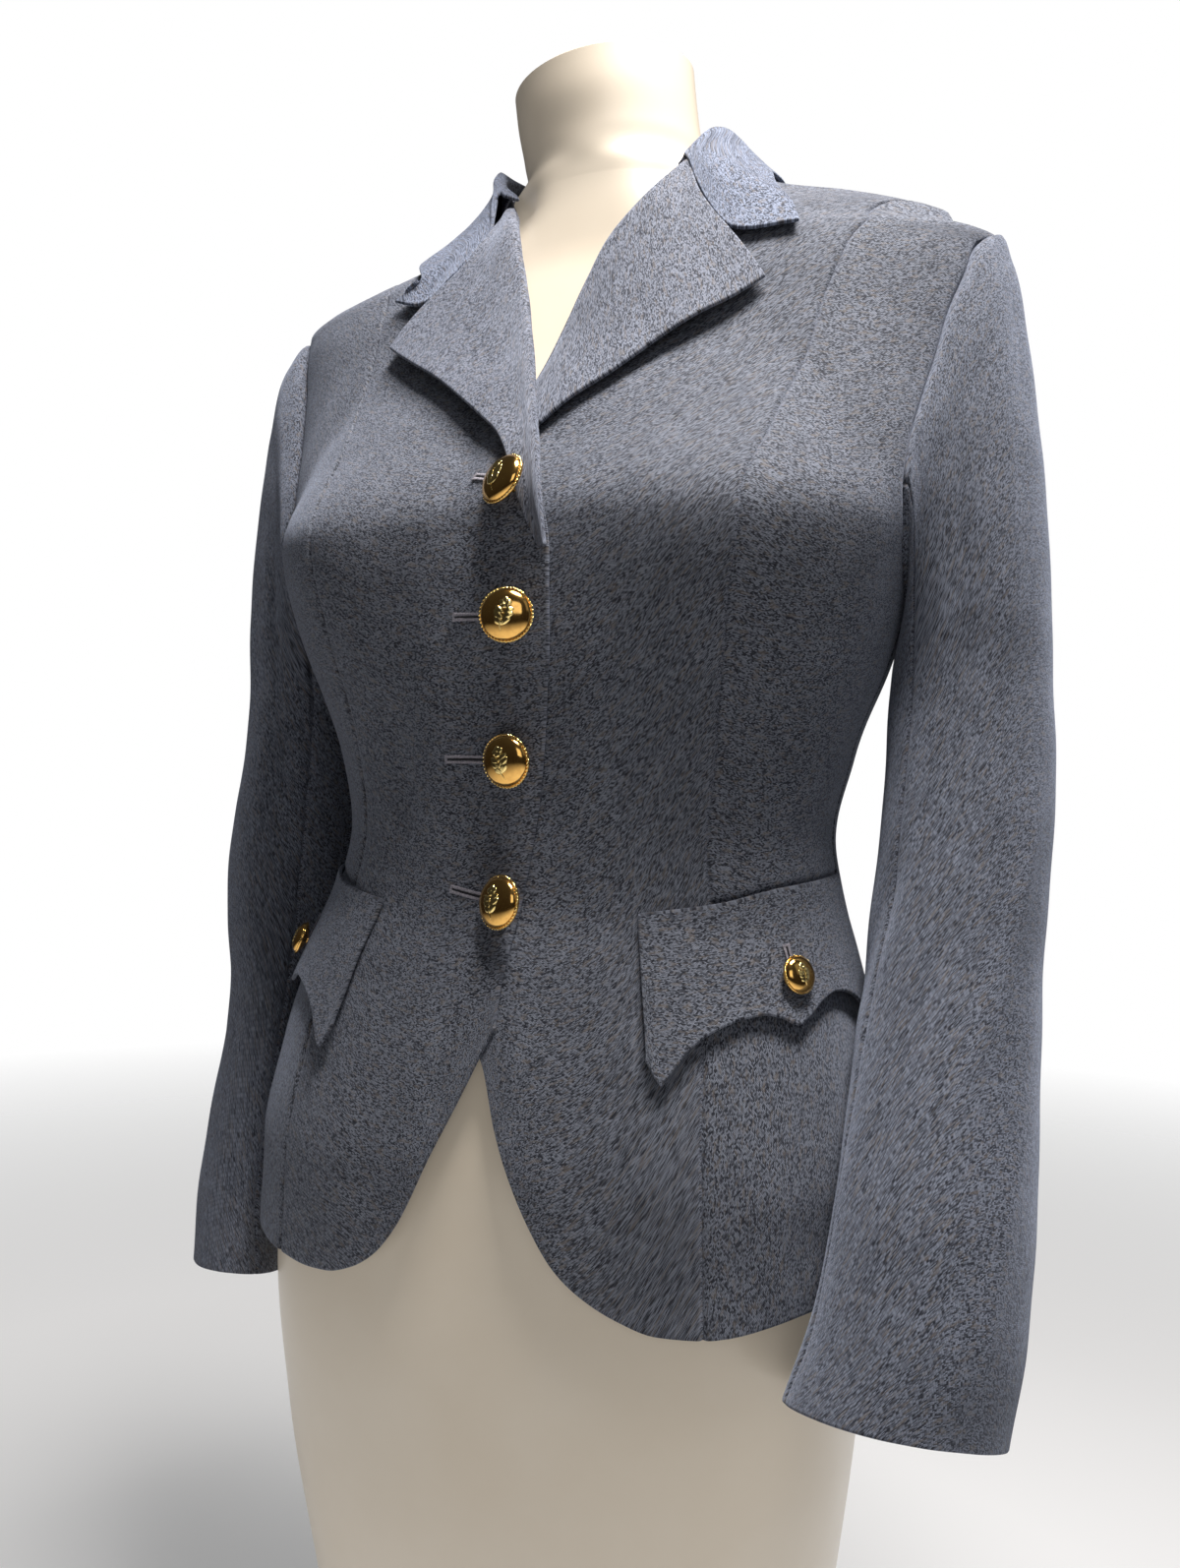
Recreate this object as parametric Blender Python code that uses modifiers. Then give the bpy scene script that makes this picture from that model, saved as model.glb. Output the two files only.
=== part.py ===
"""Fitted military uniform jacket on a limbless dress form.

Metres, +Z up. The front faces -Y and the wearer's left is +X. The origin is the
centre of the stand's underside. A drop is a height measured from the shoulder
point, so most drops are below zero. An angle goes round the body from the centre
front, 0, past the side, 90, to the centre back, 180, and a reach is a distance
from the centre line towards a front's own side.
"""
import math
from collections import namedtuple

import bmesh
import bpy
import numpy as np
from mathutils import Matrix, Vector

# Driving sizes
SHOULDER_HEIGHT = 0.895
WALL = 0.0020
LAPEL_WALL = 0.0022
GAP = 0.0003
LAP_LIFT = 0.0023
LAP_BULGE = 0.0048
LAP_REACH = (0.060, 0.030)
LAP_LIMIT = 80.0
BULGE_REACH = (0.028, 0.004)
BULGE_TOP = (-0.020, -0.070)
BULGE_FOOT = (-0.172, -0.128)

Section = namedtuple(
    "Section", "drop half_width front back side_y squareness sway left_extra right_extra"
)
TORSO = [
    Section(-0.695, 0.146, 0.122, 0.106, -0.010, 2.40, -0.006, 0.0, 0.0),
    Section(-0.600, 0.158, 0.137, 0.120, -0.010, 2.60, -0.007, 0.0, 0.0),
    Section(-0.520, 0.163, 0.143, 0.125, -0.010, 2.75, -0.007, 0.0, 0.0),
    Section(-0.460, 0.163, 0.143, 0.127, -0.010, 2.75, -0.007, 0.0, 0.0),
    Section(-0.410, 0.157, 0.137, 0.120, -0.010, 2.60, -0.006, 0.0, 0.0),
    Section(-0.365, 0.146, 0.128, 0.102, -0.012, 2.42, -0.005, 0.0, 0.0),
    Section(-0.330, 0.136, 0.119, 0.086, -0.014, 2.30, -0.003, 0.0, 0.0),
    Section(-0.300, 0.130, 0.118, 0.078, -0.018, 2.30, -0.001, 0.0, 0.0),
    Section(-0.260, 0.138, 0.122, 0.080, -0.018, 2.30, 0.0, 0.0, 0.0),
    Section(-0.210, 0.156, 0.129, 0.090, -0.014, 2.35, 0.0, 0.0, 0.0),
    Section(-0.160, 0.171, 0.130, 0.102, -0.008, 2.40, 0.0, 0.0, 0.0),
    Section(-0.110, 0.187, 0.108, 0.110, -0.002, 2.30, 0.0, 0.0, 0.0),
    Section(-0.060, 0.198, 0.083, 0.112, 0.000, 2.10, 0.0, 0.0, 0.0),
    Section(-0.020, 0.203, 0.068, 0.108, 0.002, 2.00, 0.0, 0.0, 0.0),
    Section(-0.003, 0.203, 0.062, 0.103, 0.002, 1.88, 0.0, 0.0, 0.0),
    Section(0.006, 0.182, 0.0590, 0.1015, 0.003, 1.78, 0.0, 0.003, 0.002),
    Section(0.017, 0.162, 0.056, 0.097, 0.004, 1.60, 0.0, 0.015, -0.038),
    Section(0.028, 0.138, 0.0535, 0.092, 0.005, 1.46, 0.0, 0.013, -0.041),
    Section(0.038, 0.112, 0.052, 0.087, 0.005, 1.42, 0.0, 0.003, -0.030),
    Section(0.045, 0.094, 0.051, 0.083, 0.005, 1.50, 0.0, 0.0, -0.014),
    Section(0.052, 0.080, 0.0505, 0.079, 0.005, 1.65, 0.0, 0.0, -0.009),
    Section(0.070, 0.066, 0.049, 0.066, 0.004, 2.00, 0.0, 0.0, -0.003),
]
BUST_FULLNESS = 0.016
BUST_ANGLE = 44.0
BUST_ANGLE_SPREAD = 24.0
BUST_DROP = -0.165
BUST_DROP_SPREAD = 0.055

# Seams and edges, as angles round the body or reaches from the centre line
Seam = namedtuple("Seam", "drop right left")
PRINCESS = [
    Seam(-0.507, 43.0, 43.0), Seam(-0.445, 42.5, 42.5), Seam(-0.392, 44.0, 44.0),
    Seam(-0.327, 49.1, 49.1), Seam(-0.272, 49.3, 49.3), Seam(-0.225, 46.1, 46.1),
    Seam(-0.189, 43.0, 43.4), Seam(-0.154, 42.0, 42.9), Seam(-0.113, 49.0, 50.8),
    Seam(-0.069, 58.5, 61.3), Seam(-0.040, 61.5, 65.8), Seam(-0.012, 65.0, 71.0),
    Seam(0.004, 69.0, 76.0), Seam(0.014, 73.0, 80.0), Seam(0.0255, 81.0, 89.6),
    Seam(0.0335, 89.6, 90.0),
]
Armhole = namedtuple("Armhole", "drop front back")
ARMHOLE = [
    Armhole(-0.190, 90.0, 90.0), Armhole(-0.180, 83.0, 97.0), Armhole(-0.165, 76.0, 104.0),
    Armhole(-0.137, 71.2, 110.0), Armhole(-0.115, 72.2, 111.0), Armhole(-0.093, 75.0, 110.0),
    Armhole(-0.069, 78.0, 107.0), Armhole(-0.043, 80.5, 103.0), Armhole(-0.027, 82.5, 100.0),
    Armhole(-0.010, 85.1, 96.0), Armhole(-0.002, 90.0, 90.0),
]
FrontLine = namedtuple("FrontLine", "drop right left")
FRONT_LINE = [
    FrontLine(-0.370, -0.004, -0.006), FrontLine(-0.342, -0.007, -0.010),
    FrontLine(-0.311, -0.012, -0.014), FrontLine(-0.279, -0.017, -0.018),
    FrontLine(-0.244, -0.021, -0.021), FrontLine(-0.209, -0.024, -0.022),
    FrontLine(-0.174, -0.024, -0.022), FrontLine(-0.143, -0.019, -0.018),
    FrontLine(-0.112, -0.0085, -0.009), FrontLine(-0.086, 0.000, 0.000),
    FrontLine(-0.067, 0.006, 0.004), FrontLine(-0.050, 0.012, 0.0085),
    FrontLine(-0.030, 0.0185, 0.0140), FrontLine(-0.010, 0.0255, 0.0205),
    FrontLine(0.013, 0.0330, 0.0345), FrontLine(0.026, 0.0385, 0.0430),
    FrontLine(0.040, 0.0480, 0.0510), FrontLine(0.052, 0.0550, 0.0545),
]
Hem = namedtuple("Hem", "angle right left")
HEM = [
    Hem(-5, -0.384, -0.384), Hem(2, -0.420, -0.402), Hem(6, -0.441, -0.428),
    Hem(10, -0.462, -0.449), Hem(14, -0.479, -0.468), Hem(19, -0.493, -0.485),
    Hem(24, -0.501, -0.495), Hem(30, -0.506, -0.503), Hem(36, -0.507, -0.508),
    Hem(43, -0.506, -0.509), Hem(60, -0.503, -0.503), Hem(90, -0.500, -0.500),
    Hem(180, -0.496, -0.496),
]
Waist = namedtuple("Waist", "angle drop")
WAIST = [Waist(30, -0.336), Waist(50, -0.330), Waist(65, -0.323), Waist(95, -0.317)]

# Rows of the torso panels, from the neck seam down to where the hems part
SHOULDER_ROWS = [0.052, 0.046, 0.040, 0.0335, 0.0255, 0.015, 0.006]
ARMHOLE_ROWS = [-0.002, -0.013, -0.030, -0.048, -0.070, -0.092, -0.115, -0.138, -0.160, -0.177, -0.190]
BODY_ROWS = [-0.208, -0.227, -0.247, -0.267, -0.288, -0.309]
HIP_ROWS = [-0.340, -0.355, -0.370]
HEM_STEPS = 6
PANEL_COLUMNS = 8
SIDE_COLUMNS = 5
SIDE_SEAM = 92.0
SHOULDER_SEAM = 90.0
SEAM_TURN = math.degrees(0.5 * GAP / 0.11)
SHOULDER_GAP = 0.0004
PRINCESS_WAIST = -0.329

# Lapels: the drop on the roll line beside the reach and drop of the outer edge
Lapel = namedtuple(
    "Lapel",
    "right_roll right_reach right_drop left_roll left_reach left_drop stand_off right_bow left_bow",
)
LAPEL = [
    Lapel(0.0335, 0.099, -0.045, 0.0430, 0.102, -0.0365, 0.0030, 0.0080, 0.0036),
    Lapel(0.0150, 0.090, -0.052, 0.0200, 0.0915, -0.0455, 0.0042, 0.0036, 0.0016),
    Lapel(-0.006, 0.074, -0.064, -0.004, 0.074, -0.058, 0.0060, 0.0006, 0.0004),
    Lapel(-0.028, 0.055, -0.078, -0.028, 0.055, -0.073, 0.0070, 0.0, 0.0),
    Lapel(-0.052, 0.035, -0.095, -0.052, 0.037, -0.087, 0.0068, 0.0, 0.0),
    Lapel(-0.075, 0.019, -0.109, -0.075, 0.020, -0.099, 0.0060, 0.0, 0.0),
    Lapel(-0.100, 0.004, -0.125, -0.100, 0.006, -0.113, 0.0052, 0.0, 0.0),
    Lapel(-0.125, -0.006, -0.139, None, None, None, 0.0044, 0.0, 0.0),
    Lapel(-0.150, -0.0130, -0.154, None, None, None, 0.0034, 0.0, 0.0),
    Lapel(-0.172, -0.0205, -0.172, None, None, None, 0.0028, 0.0, 0.0),
]
RollPoint = namedtuple("RollPoint", "beyond out")
ROLL = [RollPoint(0.0012, 0.0012), RollPoint(0.0026, 0.0029), RollPoint(0.0013, 0.0048)]
ROLL_CROWN = 0.0056
LAPEL_LIE = 0.0006
TUCKED_FLATNESS = 0.55
TUCKED_ROWS = (5, 3)
LAPEL_STEPS = [0.10, 0.28, 0.46, 0.64, 0.82, 1.0]
NOTCH_SHARE = 0.72
Notch = namedtuple("Notch", "reach drop")
NOTCH = {"right": Notch(0.083, -0.0205), "left": Notch(0.0835, -0.0052)}

# Collar: a folded strip from the gorge round the back of the neck
NeckSection = namedtuple(
    "NeckSection",
    "angle base_drop fold_radius fold_rise left_angle left_drop right_angle right_drop",
)
COLLAR = [
    NeckSection(50, 0.0470, 0.0688, 0.0498, 65.5, -0.0050, 61.0, -0.0140),
    NeckSection(57, 0.0531, 0.0690, 0.0600, 67.2, 0.0070, 57.5, -0.0060),
    NeckSection(65, 0.0528, 0.0684, 0.0690, 67.5, 0.0185, 65.0, 0.0095),
    NeckSection(74, 0.0528, 0.0676, 0.0744, 73.5, 0.0345, 76.0, 0.0240),
    NeckSection(83, 0.0528, 0.0670, 0.0778, 82.5, 0.0445, 83.5, 0.0360),
    NeckSection(92, 0.0528, 0.0665, 0.0805, 92.0, 0.0460, 92.0, 0.0445),
    NeckSection(110, 0.0530, 0.0670, 0.0840, 108.0, 0.0430, 108.0, 0.0434),
    NeckSection(130, 0.0532, 0.0690, 0.0870, 130.0, 0.0410, 130.0, 0.0410),
    NeckSection(155, 0.0534, 0.0710, 0.0895, 155.0, 0.0400, 155.0, 0.0400),
    NeckSection(180, 0.0534, 0.0720, 0.0900, 180.0, 0.0398, 180.0, 0.0398),
]
NECK_CENTRE_Y = 0.005
FOLD_HALF_WIDTH = 0.0025
FOLD_STAND_SHARE = 0.35
FOLD_LEAST = 0.0006
FALL_STEPS = [0.25, 0.5, 0.75, 1.0]
COLLAR_OUT = 0.0049
COLLAR_BEND_OUT = 0.0075
RIGHT_BEND_BELOW = 0.006
RIGHT_BEND_IN = 0.0045
RIGHT_BEND_TURN = (112.0, 84.0)
GORGE_ABOVE_LAPEL = 0.0034
GORGE_RISE = 0.0015

# Sleeves: level rings down the arm, one table for each arm as it hangs
Ring = namedtuple("Ring", "drop centre_x centre_y half_width half_depth turn power slope_x slope_y")
SLEEVE_LEFT = [
    Ring(-0.541, 0.1755, -0.095, 0.0365, 0.0510, -34, 2.3, -0.08, -0.34),
    Ring(-0.500, 0.1840, -0.085, 0.0360, 0.0500, -34, 2.2, -0.05, -0.12),
    Ring(-0.450, 0.1875, -0.070, 0.0355, 0.0490, -32, 2.1, 0.0, 0.0),
    Ring(-0.400, 0.1885, -0.046, 0.0370, 0.0490, -26, 2.0, 0.0, 0.0),
    Ring(-0.350, 0.1895, -0.024, 0.0380, 0.0500, -18, 2.0, 0.0, 0.0),
    Ring(-0.300, 0.1920, -0.009, 0.0390, 0.0500, -12, 2.0, 0.0, 0.0),
    Ring(-0.250, 0.1930, 0.000, 0.0385, 0.0490, -10, 2.0, 0.0, 0.0),
    Ring(-0.200, 0.1925, 0.004, 0.0360, 0.0465, -8, 2.0, 0.0, 0.0),
]
SLEEVE_RIGHT = [
    Ring(-0.547, 0.1950, -0.052, 0.0255, 0.0500, -32, 2.3, 0.0, -0.24),
    Ring(-0.500, 0.2008, -0.044, 0.0242, 0.0505, -32, 2.2, 0.0, -0.14),
    Ring(-0.450, 0.2006, -0.034, 0.0240, 0.0505, -30, 2.1, 0.0, 0.0),
    Ring(-0.400, 0.1975, -0.022, 0.0262, 0.0500, -26, 2.0, 0.0, 0.0),
    Ring(-0.350, 0.1955, -0.012, 0.0360, 0.0490, -18, 2.0, 0.0, 0.0),
    Ring(-0.300, 0.1945, -0.004, 0.0405, 0.0500, -12, 2.0, 0.0, 0.0),
    Ring(-0.250, 0.1945, 0.003, 0.0400, 0.0490, -10, 2.0, 0.0, 0.0),
    Ring(-0.200, 0.1945, 0.006, 0.0375, 0.0465, -8, 2.0, 0.0, 0.0),
]
CAP_FULLNESS = {"right": 0.016, "left": 0.005}
ARM_TOP = -0.228
CAP_STEPS = [0.22, 0.42, 0.62, 0.81]
CAP_LEAN = 0.035
CAP_FOLLOW = 0.45
CAP_TUCK = 0.0018
CAP_START = 0.0012
ARM_RINGS = 11
FRONT_SEAM_INDEX = 7
SEAM_SHARE = 0.05

# Pocket flaps, set in the waist seam
FlapEdge = namedtuple("FlapEdge", "angle drop")
FLAP = [
    FlapEdge(34.5, -0.396), FlapEdge(36.5, -0.4055), FlapEdge(38.5, -0.400), FlapEdge(41.5, -0.391),
    FlapEdge(46, -0.3835), FlapEdge(51, -0.379), FlapEdge(55, -0.3775), FlapEdge(58, -0.379),
    FlapEdge(61, -0.3825), FlapEdge(64, -0.379), FlapEdge(68, -0.373), FlapEdge(72.5, -0.370),
    FlapEdge(77, -0.372), FlapEdge(81.5, -0.378), FlapEdge(85.5, -0.388), FlapEdge(87.5, -0.393),
    FlapEdge(89.5, -0.385),
]
FLAP_STEPS = [0.0, 0.2, 0.45, 0.7, 0.88, 1.0]
FLAP_TOP_GAP = 0.001
FLAP_SEAM_OUT = 0.0024
FLAP_FLARE = 0.0022

# Buttons
Button = namedtuple("Button", "name x drop radius tilt")
FRONT_BUTTONS = [
    Button("button_front_1", 0.0080, -0.1475, 0.0125, -33),
    Button("button_front_2", 0.006, -0.203, 0.0125, 15),
    Button("button_front_3", 0.0045, -0.267, 0.0125, -8),
    Button("button_front_4", 0.005, -0.333, 0.0125, -23),
]
FLAP_BUTTON_ANGLE = 62.5
FLAP_BUTTON_DROP = -0.3625
FLAP_BUTTON_RADIUS = 0.0088
SHANK_RADIUS = 0.0022
SHANK_LENGTH = 0.0026
SHANK_TILT_REACH = 0.9
SHANK_FOOT_TILT = 0.85
DOME_HEIGHT = 0.40
DOME_SPREAD = 0.93
DOME_STEPS = 5
Turn = namedtuple("Turn", "share height")
BUTTON_RIM = [Turn(0.97, 0.0012), Turn(1.0, 0.0006), Turn(0.95, 0.0), Turn(0.55, -0.0016)]
SHANK_TOP = -0.0022
BUTTON_SEGMENTS = 18

# Dress form and stand
Clearance = namedtuple("Clearance", "drop inset")
FORM_INSET = [
    Clearance(-0.695, 0.010), Clearance(-0.300, 0.009), Clearance(-0.060, 0.009),
    Clearance(-0.003, 0.009), Clearance(0.010, 0.0075), Clearance(0.024, 0.0055),
    Clearance(0.038, 0.0044), Clearance(0.052, 0.0030),
]
FORM_ROWS = [
    -0.690, -0.650, -0.600, -0.560, -0.520, -0.480, -0.440, -0.400, -0.365, -0.330, -0.300,
    -0.270, -0.235, -0.200, -0.165, -0.130, -0.095, -0.060, -0.032, -0.014, -0.003, 0.006,
    0.017, 0.028, 0.037, 0.045, 0.052,
]
FORM_COLUMNS = 28
FORM_BOTTOM = -0.695
FORM_BOTTOM_INSET = 0.015
NeckRing = namedtuple("NeckRing", "rise radius centre_x centre_y tilt_x tilt_y")
NECK = [
    NeckRing(0.061, 0.0510, -0.001, 0.003, 0.00, 0.05),
    NeckRing(0.076, 0.0500, -0.003, 0.001, 0.04, 0.10),
    NeckRing(0.098, 0.0500, -0.006, -0.002, 0.08, 0.14),
    NeckRing(0.1165, 0.0500, -0.008, -0.003, 0.11, 0.16),
    NeckRing(0.1180, 0.0480, -0.008, -0.003, 0.11, 0.16),
]
BASE_RADIUS = 0.150
BASE_THICKNESS = 0.014
BASE_EDGE = 0.003
POST_RADIUS = 0.016

CLOTH_BLUE = (0.105, 0.135, 0.190, 1.0)
COLLAR_BLUE = (0.130, 0.175, 0.260, 1.0)
BUTTON_GOLD = (0.85, 0.60, 0.20, 1.0)
FORM_CREAM = (0.83, 0.76, 0.62, 1.0)
STEEL_GREY = (0.45, 0.45, 0.46, 1.0)


def smooth(table, column, at):
    """Read a table's named column at any place along its first column, without overshoot."""
    xs = np.array([row[0] for row in table], dtype=float)
    ys = np.array([getattr(row, column) for row in table], dtype=float)
    step = np.diff(xs)
    secant = np.diff(ys) / step
    slope = np.empty_like(ys)
    slope[0] = secant[0]
    slope[-1] = secant[-1]
    for k in range(1, len(xs) - 1):
        before, after = secant[k - 1], secant[k]
        weight_before = 2 * step[k] + step[k - 1]
        weight_after = step[k] + 2 * step[k - 1]
        if before * after <= 0:
            slope[k] = 0.0
        else:
            slope[k] = (weight_before + weight_after) / (weight_before / before + weight_after / after)
    at = np.clip(np.asarray(at, dtype=float), xs[0], xs[-1])
    k = np.clip(np.searchsorted(xs, at, side="right") - 1, 0, len(xs) - 2)
    t = (at - xs[k]) / step[k]
    start = (1 + 2 * t) * (1 - t) ** 2 * ys[k] + t * (1 - t) ** 2 * step[k] * slope[k]
    end = t * t * (3 - 2 * t) * ys[k + 1] + t * t * (t - 1) * step[k] * slope[k + 1]
    return start + end


def ease(value, start, end):
    """Rise smoothly from 0 at start to 1 at end; start may be the larger."""
    t = np.clip((np.asarray(value, dtype=float) - start) / (end - start), 0.0, 1.0)
    return t * t * (3 - 2 * t)


def torso_radius(angle, drop):
    """Distance of the cloth's outer face from the body's axis; angle in degrees, signed."""
    cosine = np.cos(np.radians(angle))
    sine = np.sin(np.radians(angle))
    left, right = smooth(TORSO, "left_extra", drop), smooth(TORSO, "right_extra", drop)
    half_width = smooth(TORSO, "half_width", drop) + np.where(sine > 0, left, right)
    side_y = smooth(TORSO, "side_y", drop)
    power = smooth(TORSO, "squareness", drop)
    power = power + np.maximum(2.0 - power, 0.0) * ease(np.abs(sine), 0.75, 0.25)
    front = smooth(TORSO, "front", drop) + side_y
    back = smooth(TORSO, "back", drop) - side_y
    depth = np.where(cosine > 0, front, back)
    radius = ((np.abs(cosine) / depth) ** power + (np.abs(sine) / half_width) ** power) ** (-1 / power)
    turned = np.degrees(np.abs(np.arctan2(sine, cosine)))
    across = (turned - BUST_ANGLE) / BUST_ANGLE_SPREAD
    along = (np.asarray(drop) - BUST_DROP) / BUST_DROP_SPREAD
    return radius + BUST_FULLNESS * np.exp(-across ** 2 - along ** 2)


def torso_point(angle, drop):
    angle, drop = np.broadcast_arrays(np.asarray(angle, float), np.asarray(drop, float))
    radius = torso_radius(angle, drop)
    x = smooth(TORSO, "sway", drop) + radius * np.sin(np.radians(angle))
    y = smooth(TORSO, "side_y", drop) - radius * np.cos(np.radians(angle))
    return np.stack([x, y, drop + SHOULDER_HEIGHT], axis=-1)


def torso(angle, drop, out=0.0):
    """A point on the cloth's outer face, moved out along the face's normal."""
    angle, drop, out = np.broadcast_arrays(
        np.asarray(angle, float), np.asarray(drop, float), np.asarray(out, float)
    )
    turn, rise = 0.05, 0.0002
    around = torso_point(angle + turn, drop) - torso_point(angle - turn, drop)
    upward = torso_point(angle, drop + rise) - torso_point(angle, drop - rise)
    normal = np.cross(around, upward)
    normal /= np.linalg.norm(normal, axis=-1, keepdims=True)
    return torso_point(angle, drop) + normal * out[..., None]


def angle_at(x, drop):
    """The signed angle of the point on the front that lies x from the centre plane."""
    x, drop = np.broadcast_arrays(np.asarray(x, float), np.asarray(drop, float))
    offset = x - smooth(TORSO, "sway", drop)
    angle = np.zeros_like(offset)
    for _ in range(30):
        ratio = np.clip(offset / torso_radius(angle, drop), -0.99, 0.99)
        angle = 0.5 * angle + 0.5 * np.degrees(np.arcsin(ratio))
    return angle


def grid_normals(grid):
    """Unit normals of a grid of points, from its own neighbours."""
    across = np.gradient(grid, axis=1)
    along = np.gradient(grid, axis=0)
    normal = np.cross(across, along)
    return normal / np.linalg.norm(normal, axis=-1, keepdims=True)


def wall_object(name, outer, inner, material):
    """Close two grids of points, outer and inner face, into one wall."""
    rows, columns = outer.shape[:2]
    count = rows * columns
    faces = []
    for i in range(rows - 1):
        for j in range(columns - 1):
            a, b = i * columns + j, i * columns + j + 1
            c, d = b + columns, a + columns
            faces.append((a, b, c, d))
            faces.append((count + d, count + c, count + b, count + a))
    rim = [(0, j) for j in range(columns)]
    rim += [(i, columns - 1) for i in range(1, rows)]
    rim += [(rows - 1, j) for j in range(columns - 2, -1, -1)]
    rim += [(i, 0) for i in range(rows - 2, 0, -1)]
    ring = [i * columns + j for i, j in rim]
    for here, there in zip(ring, ring[1:] + ring[:1]):
        faces.append((there, here, here + count, there + count))
    points = np.concatenate([outer.reshape(-1, 3), inner.reshape(-1, 3)])
    return solid_object(name, points, faces, material)


def solid_object(name, points, faces, material):
    mesh = bpy.data.meshes.new(name)
    mesh.from_pydata([tuple(p) for p in points], [], faces)
    shape = bmesh.new()
    shape.from_mesh(mesh)
    bmesh.ops.recalc_face_normals(shape, faces=shape.faces)
    shape.to_mesh(mesh)
    shape.free()
    return finish_object(name, mesh, material)


def finish_object(name, mesh, material):
    mesh.materials.clear()
    mesh.materials.append(material)
    mesh.shade_smooth()
    mesh.set_sharp_from_angle(angle=math.radians(40))
    item = bpy.data.objects.new(name, mesh)
    COLLECTION.objects.link(item)
    return item


def make_material(name, colour, roughness, metallic=0.0):
    material = bpy.data.materials.new(name)
    material.use_nodes = True
    shader = material.node_tree.nodes["Principled BSDF"]
    shader.inputs["Base Color"].default_value = colour
    shader.inputs["Roughness"].default_value = roughness
    shader.inputs["Metallic"].default_value = metallic
    return material


def own_side(side):
    return "left" if side > 0 else "right"


def lap_out(side, x, drop):
    """How far a front stands off the body: the right one laps over the left."""
    if side > 0:
        return np.zeros(np.broadcast(x, drop).shape)
    reach = -np.asarray(x, float)
    bulge = ease(drop, *BULGE_TOP) * ease(drop, *BULGE_FOOT) * ease(reach, *BULGE_REACH)
    return LAP_LIFT * ease(reach, *LAP_REACH) + LAP_BULGE * bulge


def front_line_angle(side, drop):
    """The front's own angle at its roll line and front edge."""
    reach = smooth(FRONT_LINE, own_side(side), drop)
    return side * angle_at(side * reach, drop)


def hem_drop(side, angle):
    return smooth(HEM, own_side(side), angle)


def waist_drop(angle):
    return smooth(WAIST, "drop", angle)


def panel_rows():
    return SHOULDER_ROWS + ARMHOLE_ROWS + BODY_ROWS


def hem_rows(side, start, end, share, seam_end=None):
    """Angles and drops of even steps from the last shared row down to the hem.

    seam_end names the end of each step, start or end, that keeps to the princess seam.
    """
    angles = []
    drops = []
    floor = HIP_ROWS[-1]
    foot = float(hem_drop(side, princess_angle(side, PRINCESS[0].drop)))
    for step in range(1, HEM_STEPS + 1):
        fraction = step / HEM_STEPS
        seam = princess_angle(side, floor + (foot - floor) * fraction)
        if seam_end == "start":
            start = seam + SEAM_TURN
        elif seam_end == "end":
            end = seam - SEAM_TURN
        angle = start + (end - start) * share
        angles.append(angle)
        drops.append(floor + (hem_drop(side, angle) - floor) * fraction)
    return angles, drops


def panel_object(name, side, starts, ends, rows, material, seam_end=None):
    """A torso panel between two seams, each a list of own angles, one for each row."""
    share = np.linspace(0.0, 1.0, PANEL_COLUMNS + 1)
    angles = [start + (end - start) * share for start, end in zip(starts, ends)]
    drops = [np.broadcast_to(row, share.shape) for row in rows]
    foot = hem_rows(side, starts[-1], ends[-1], share, seam_end)
    angle, drop = np.array(angles + foot[0]), np.array(drops + foot[1])
    x = torso_point(side * angle, drop)[..., 0]
    out = lap_out(side, x, drop) * (angle < LAP_LIMIT)
    outer = torso(side * angle, drop, out)
    inner = torso(side * angle, drop, out - WALL)
    return wall_object(name, outer, inner, material)


def princess_angle(side, drop):
    return float(smooth(PRINCESS, own_side(side), drop))


def princess_top(side):
    """The highest shared row at which the side front still has some width."""
    rows = [row for row in SHOULDER_ROWS if princess_angle(side, row) < SHOULDER_SEAM - 0.1]
    return rows[0]


def armhole_angle(face, drop):
    return smooth(ARMHOLE, face, drop)


def front_side_angle(drop):
    """Outer edge of the front pieces: shoulder seam, armhole or side seam."""
    if drop >= ARMHOLE_ROWS[0]:
        return SHOULDER_SEAM
    if drop > ARMHOLE_ROWS[-1]:
        return float(armhole_angle("front", drop))
    return SHOULDER_SEAM + (SIDE_SEAM - SHOULDER_SEAM) * float(ease(drop, ARMHOLE_ROWS[-1], BODY_ROWS[1]))


def back_side_angle(drop):
    if ARMHOLE_ROWS[0] > drop > ARMHOLE_ROWS[-1]:
        return float(armhole_angle("back", drop))
    return front_side_angle(drop)


def side_turn(side, drop):
    """Half the gap at the shoulder seam or the side seam, as an angle."""
    if drop < ARMHOLE_ROWS[0]:
        return SEAM_TURN
    return math.degrees(0.5 * SHOULDER_GAP / float(torso_radius(side * SHOULDER_SEAM, drop)))


def make_front(side, material):
    rows = panel_rows() + [PRINCESS_WAIST] + HIP_ROWS
    starts = [float(front_line_angle(side, row)) for row in rows]
    ends = []
    for row in rows:
        if row > princess_top(side):
            ends.append(SHOULDER_SEAM - side_turn(side, row))
        else:
            ends.append(princess_angle(side, row) - SEAM_TURN)
    name = "front_" + own_side(side)
    return panel_object(name, side, starts, ends, rows, material, "end")


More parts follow.
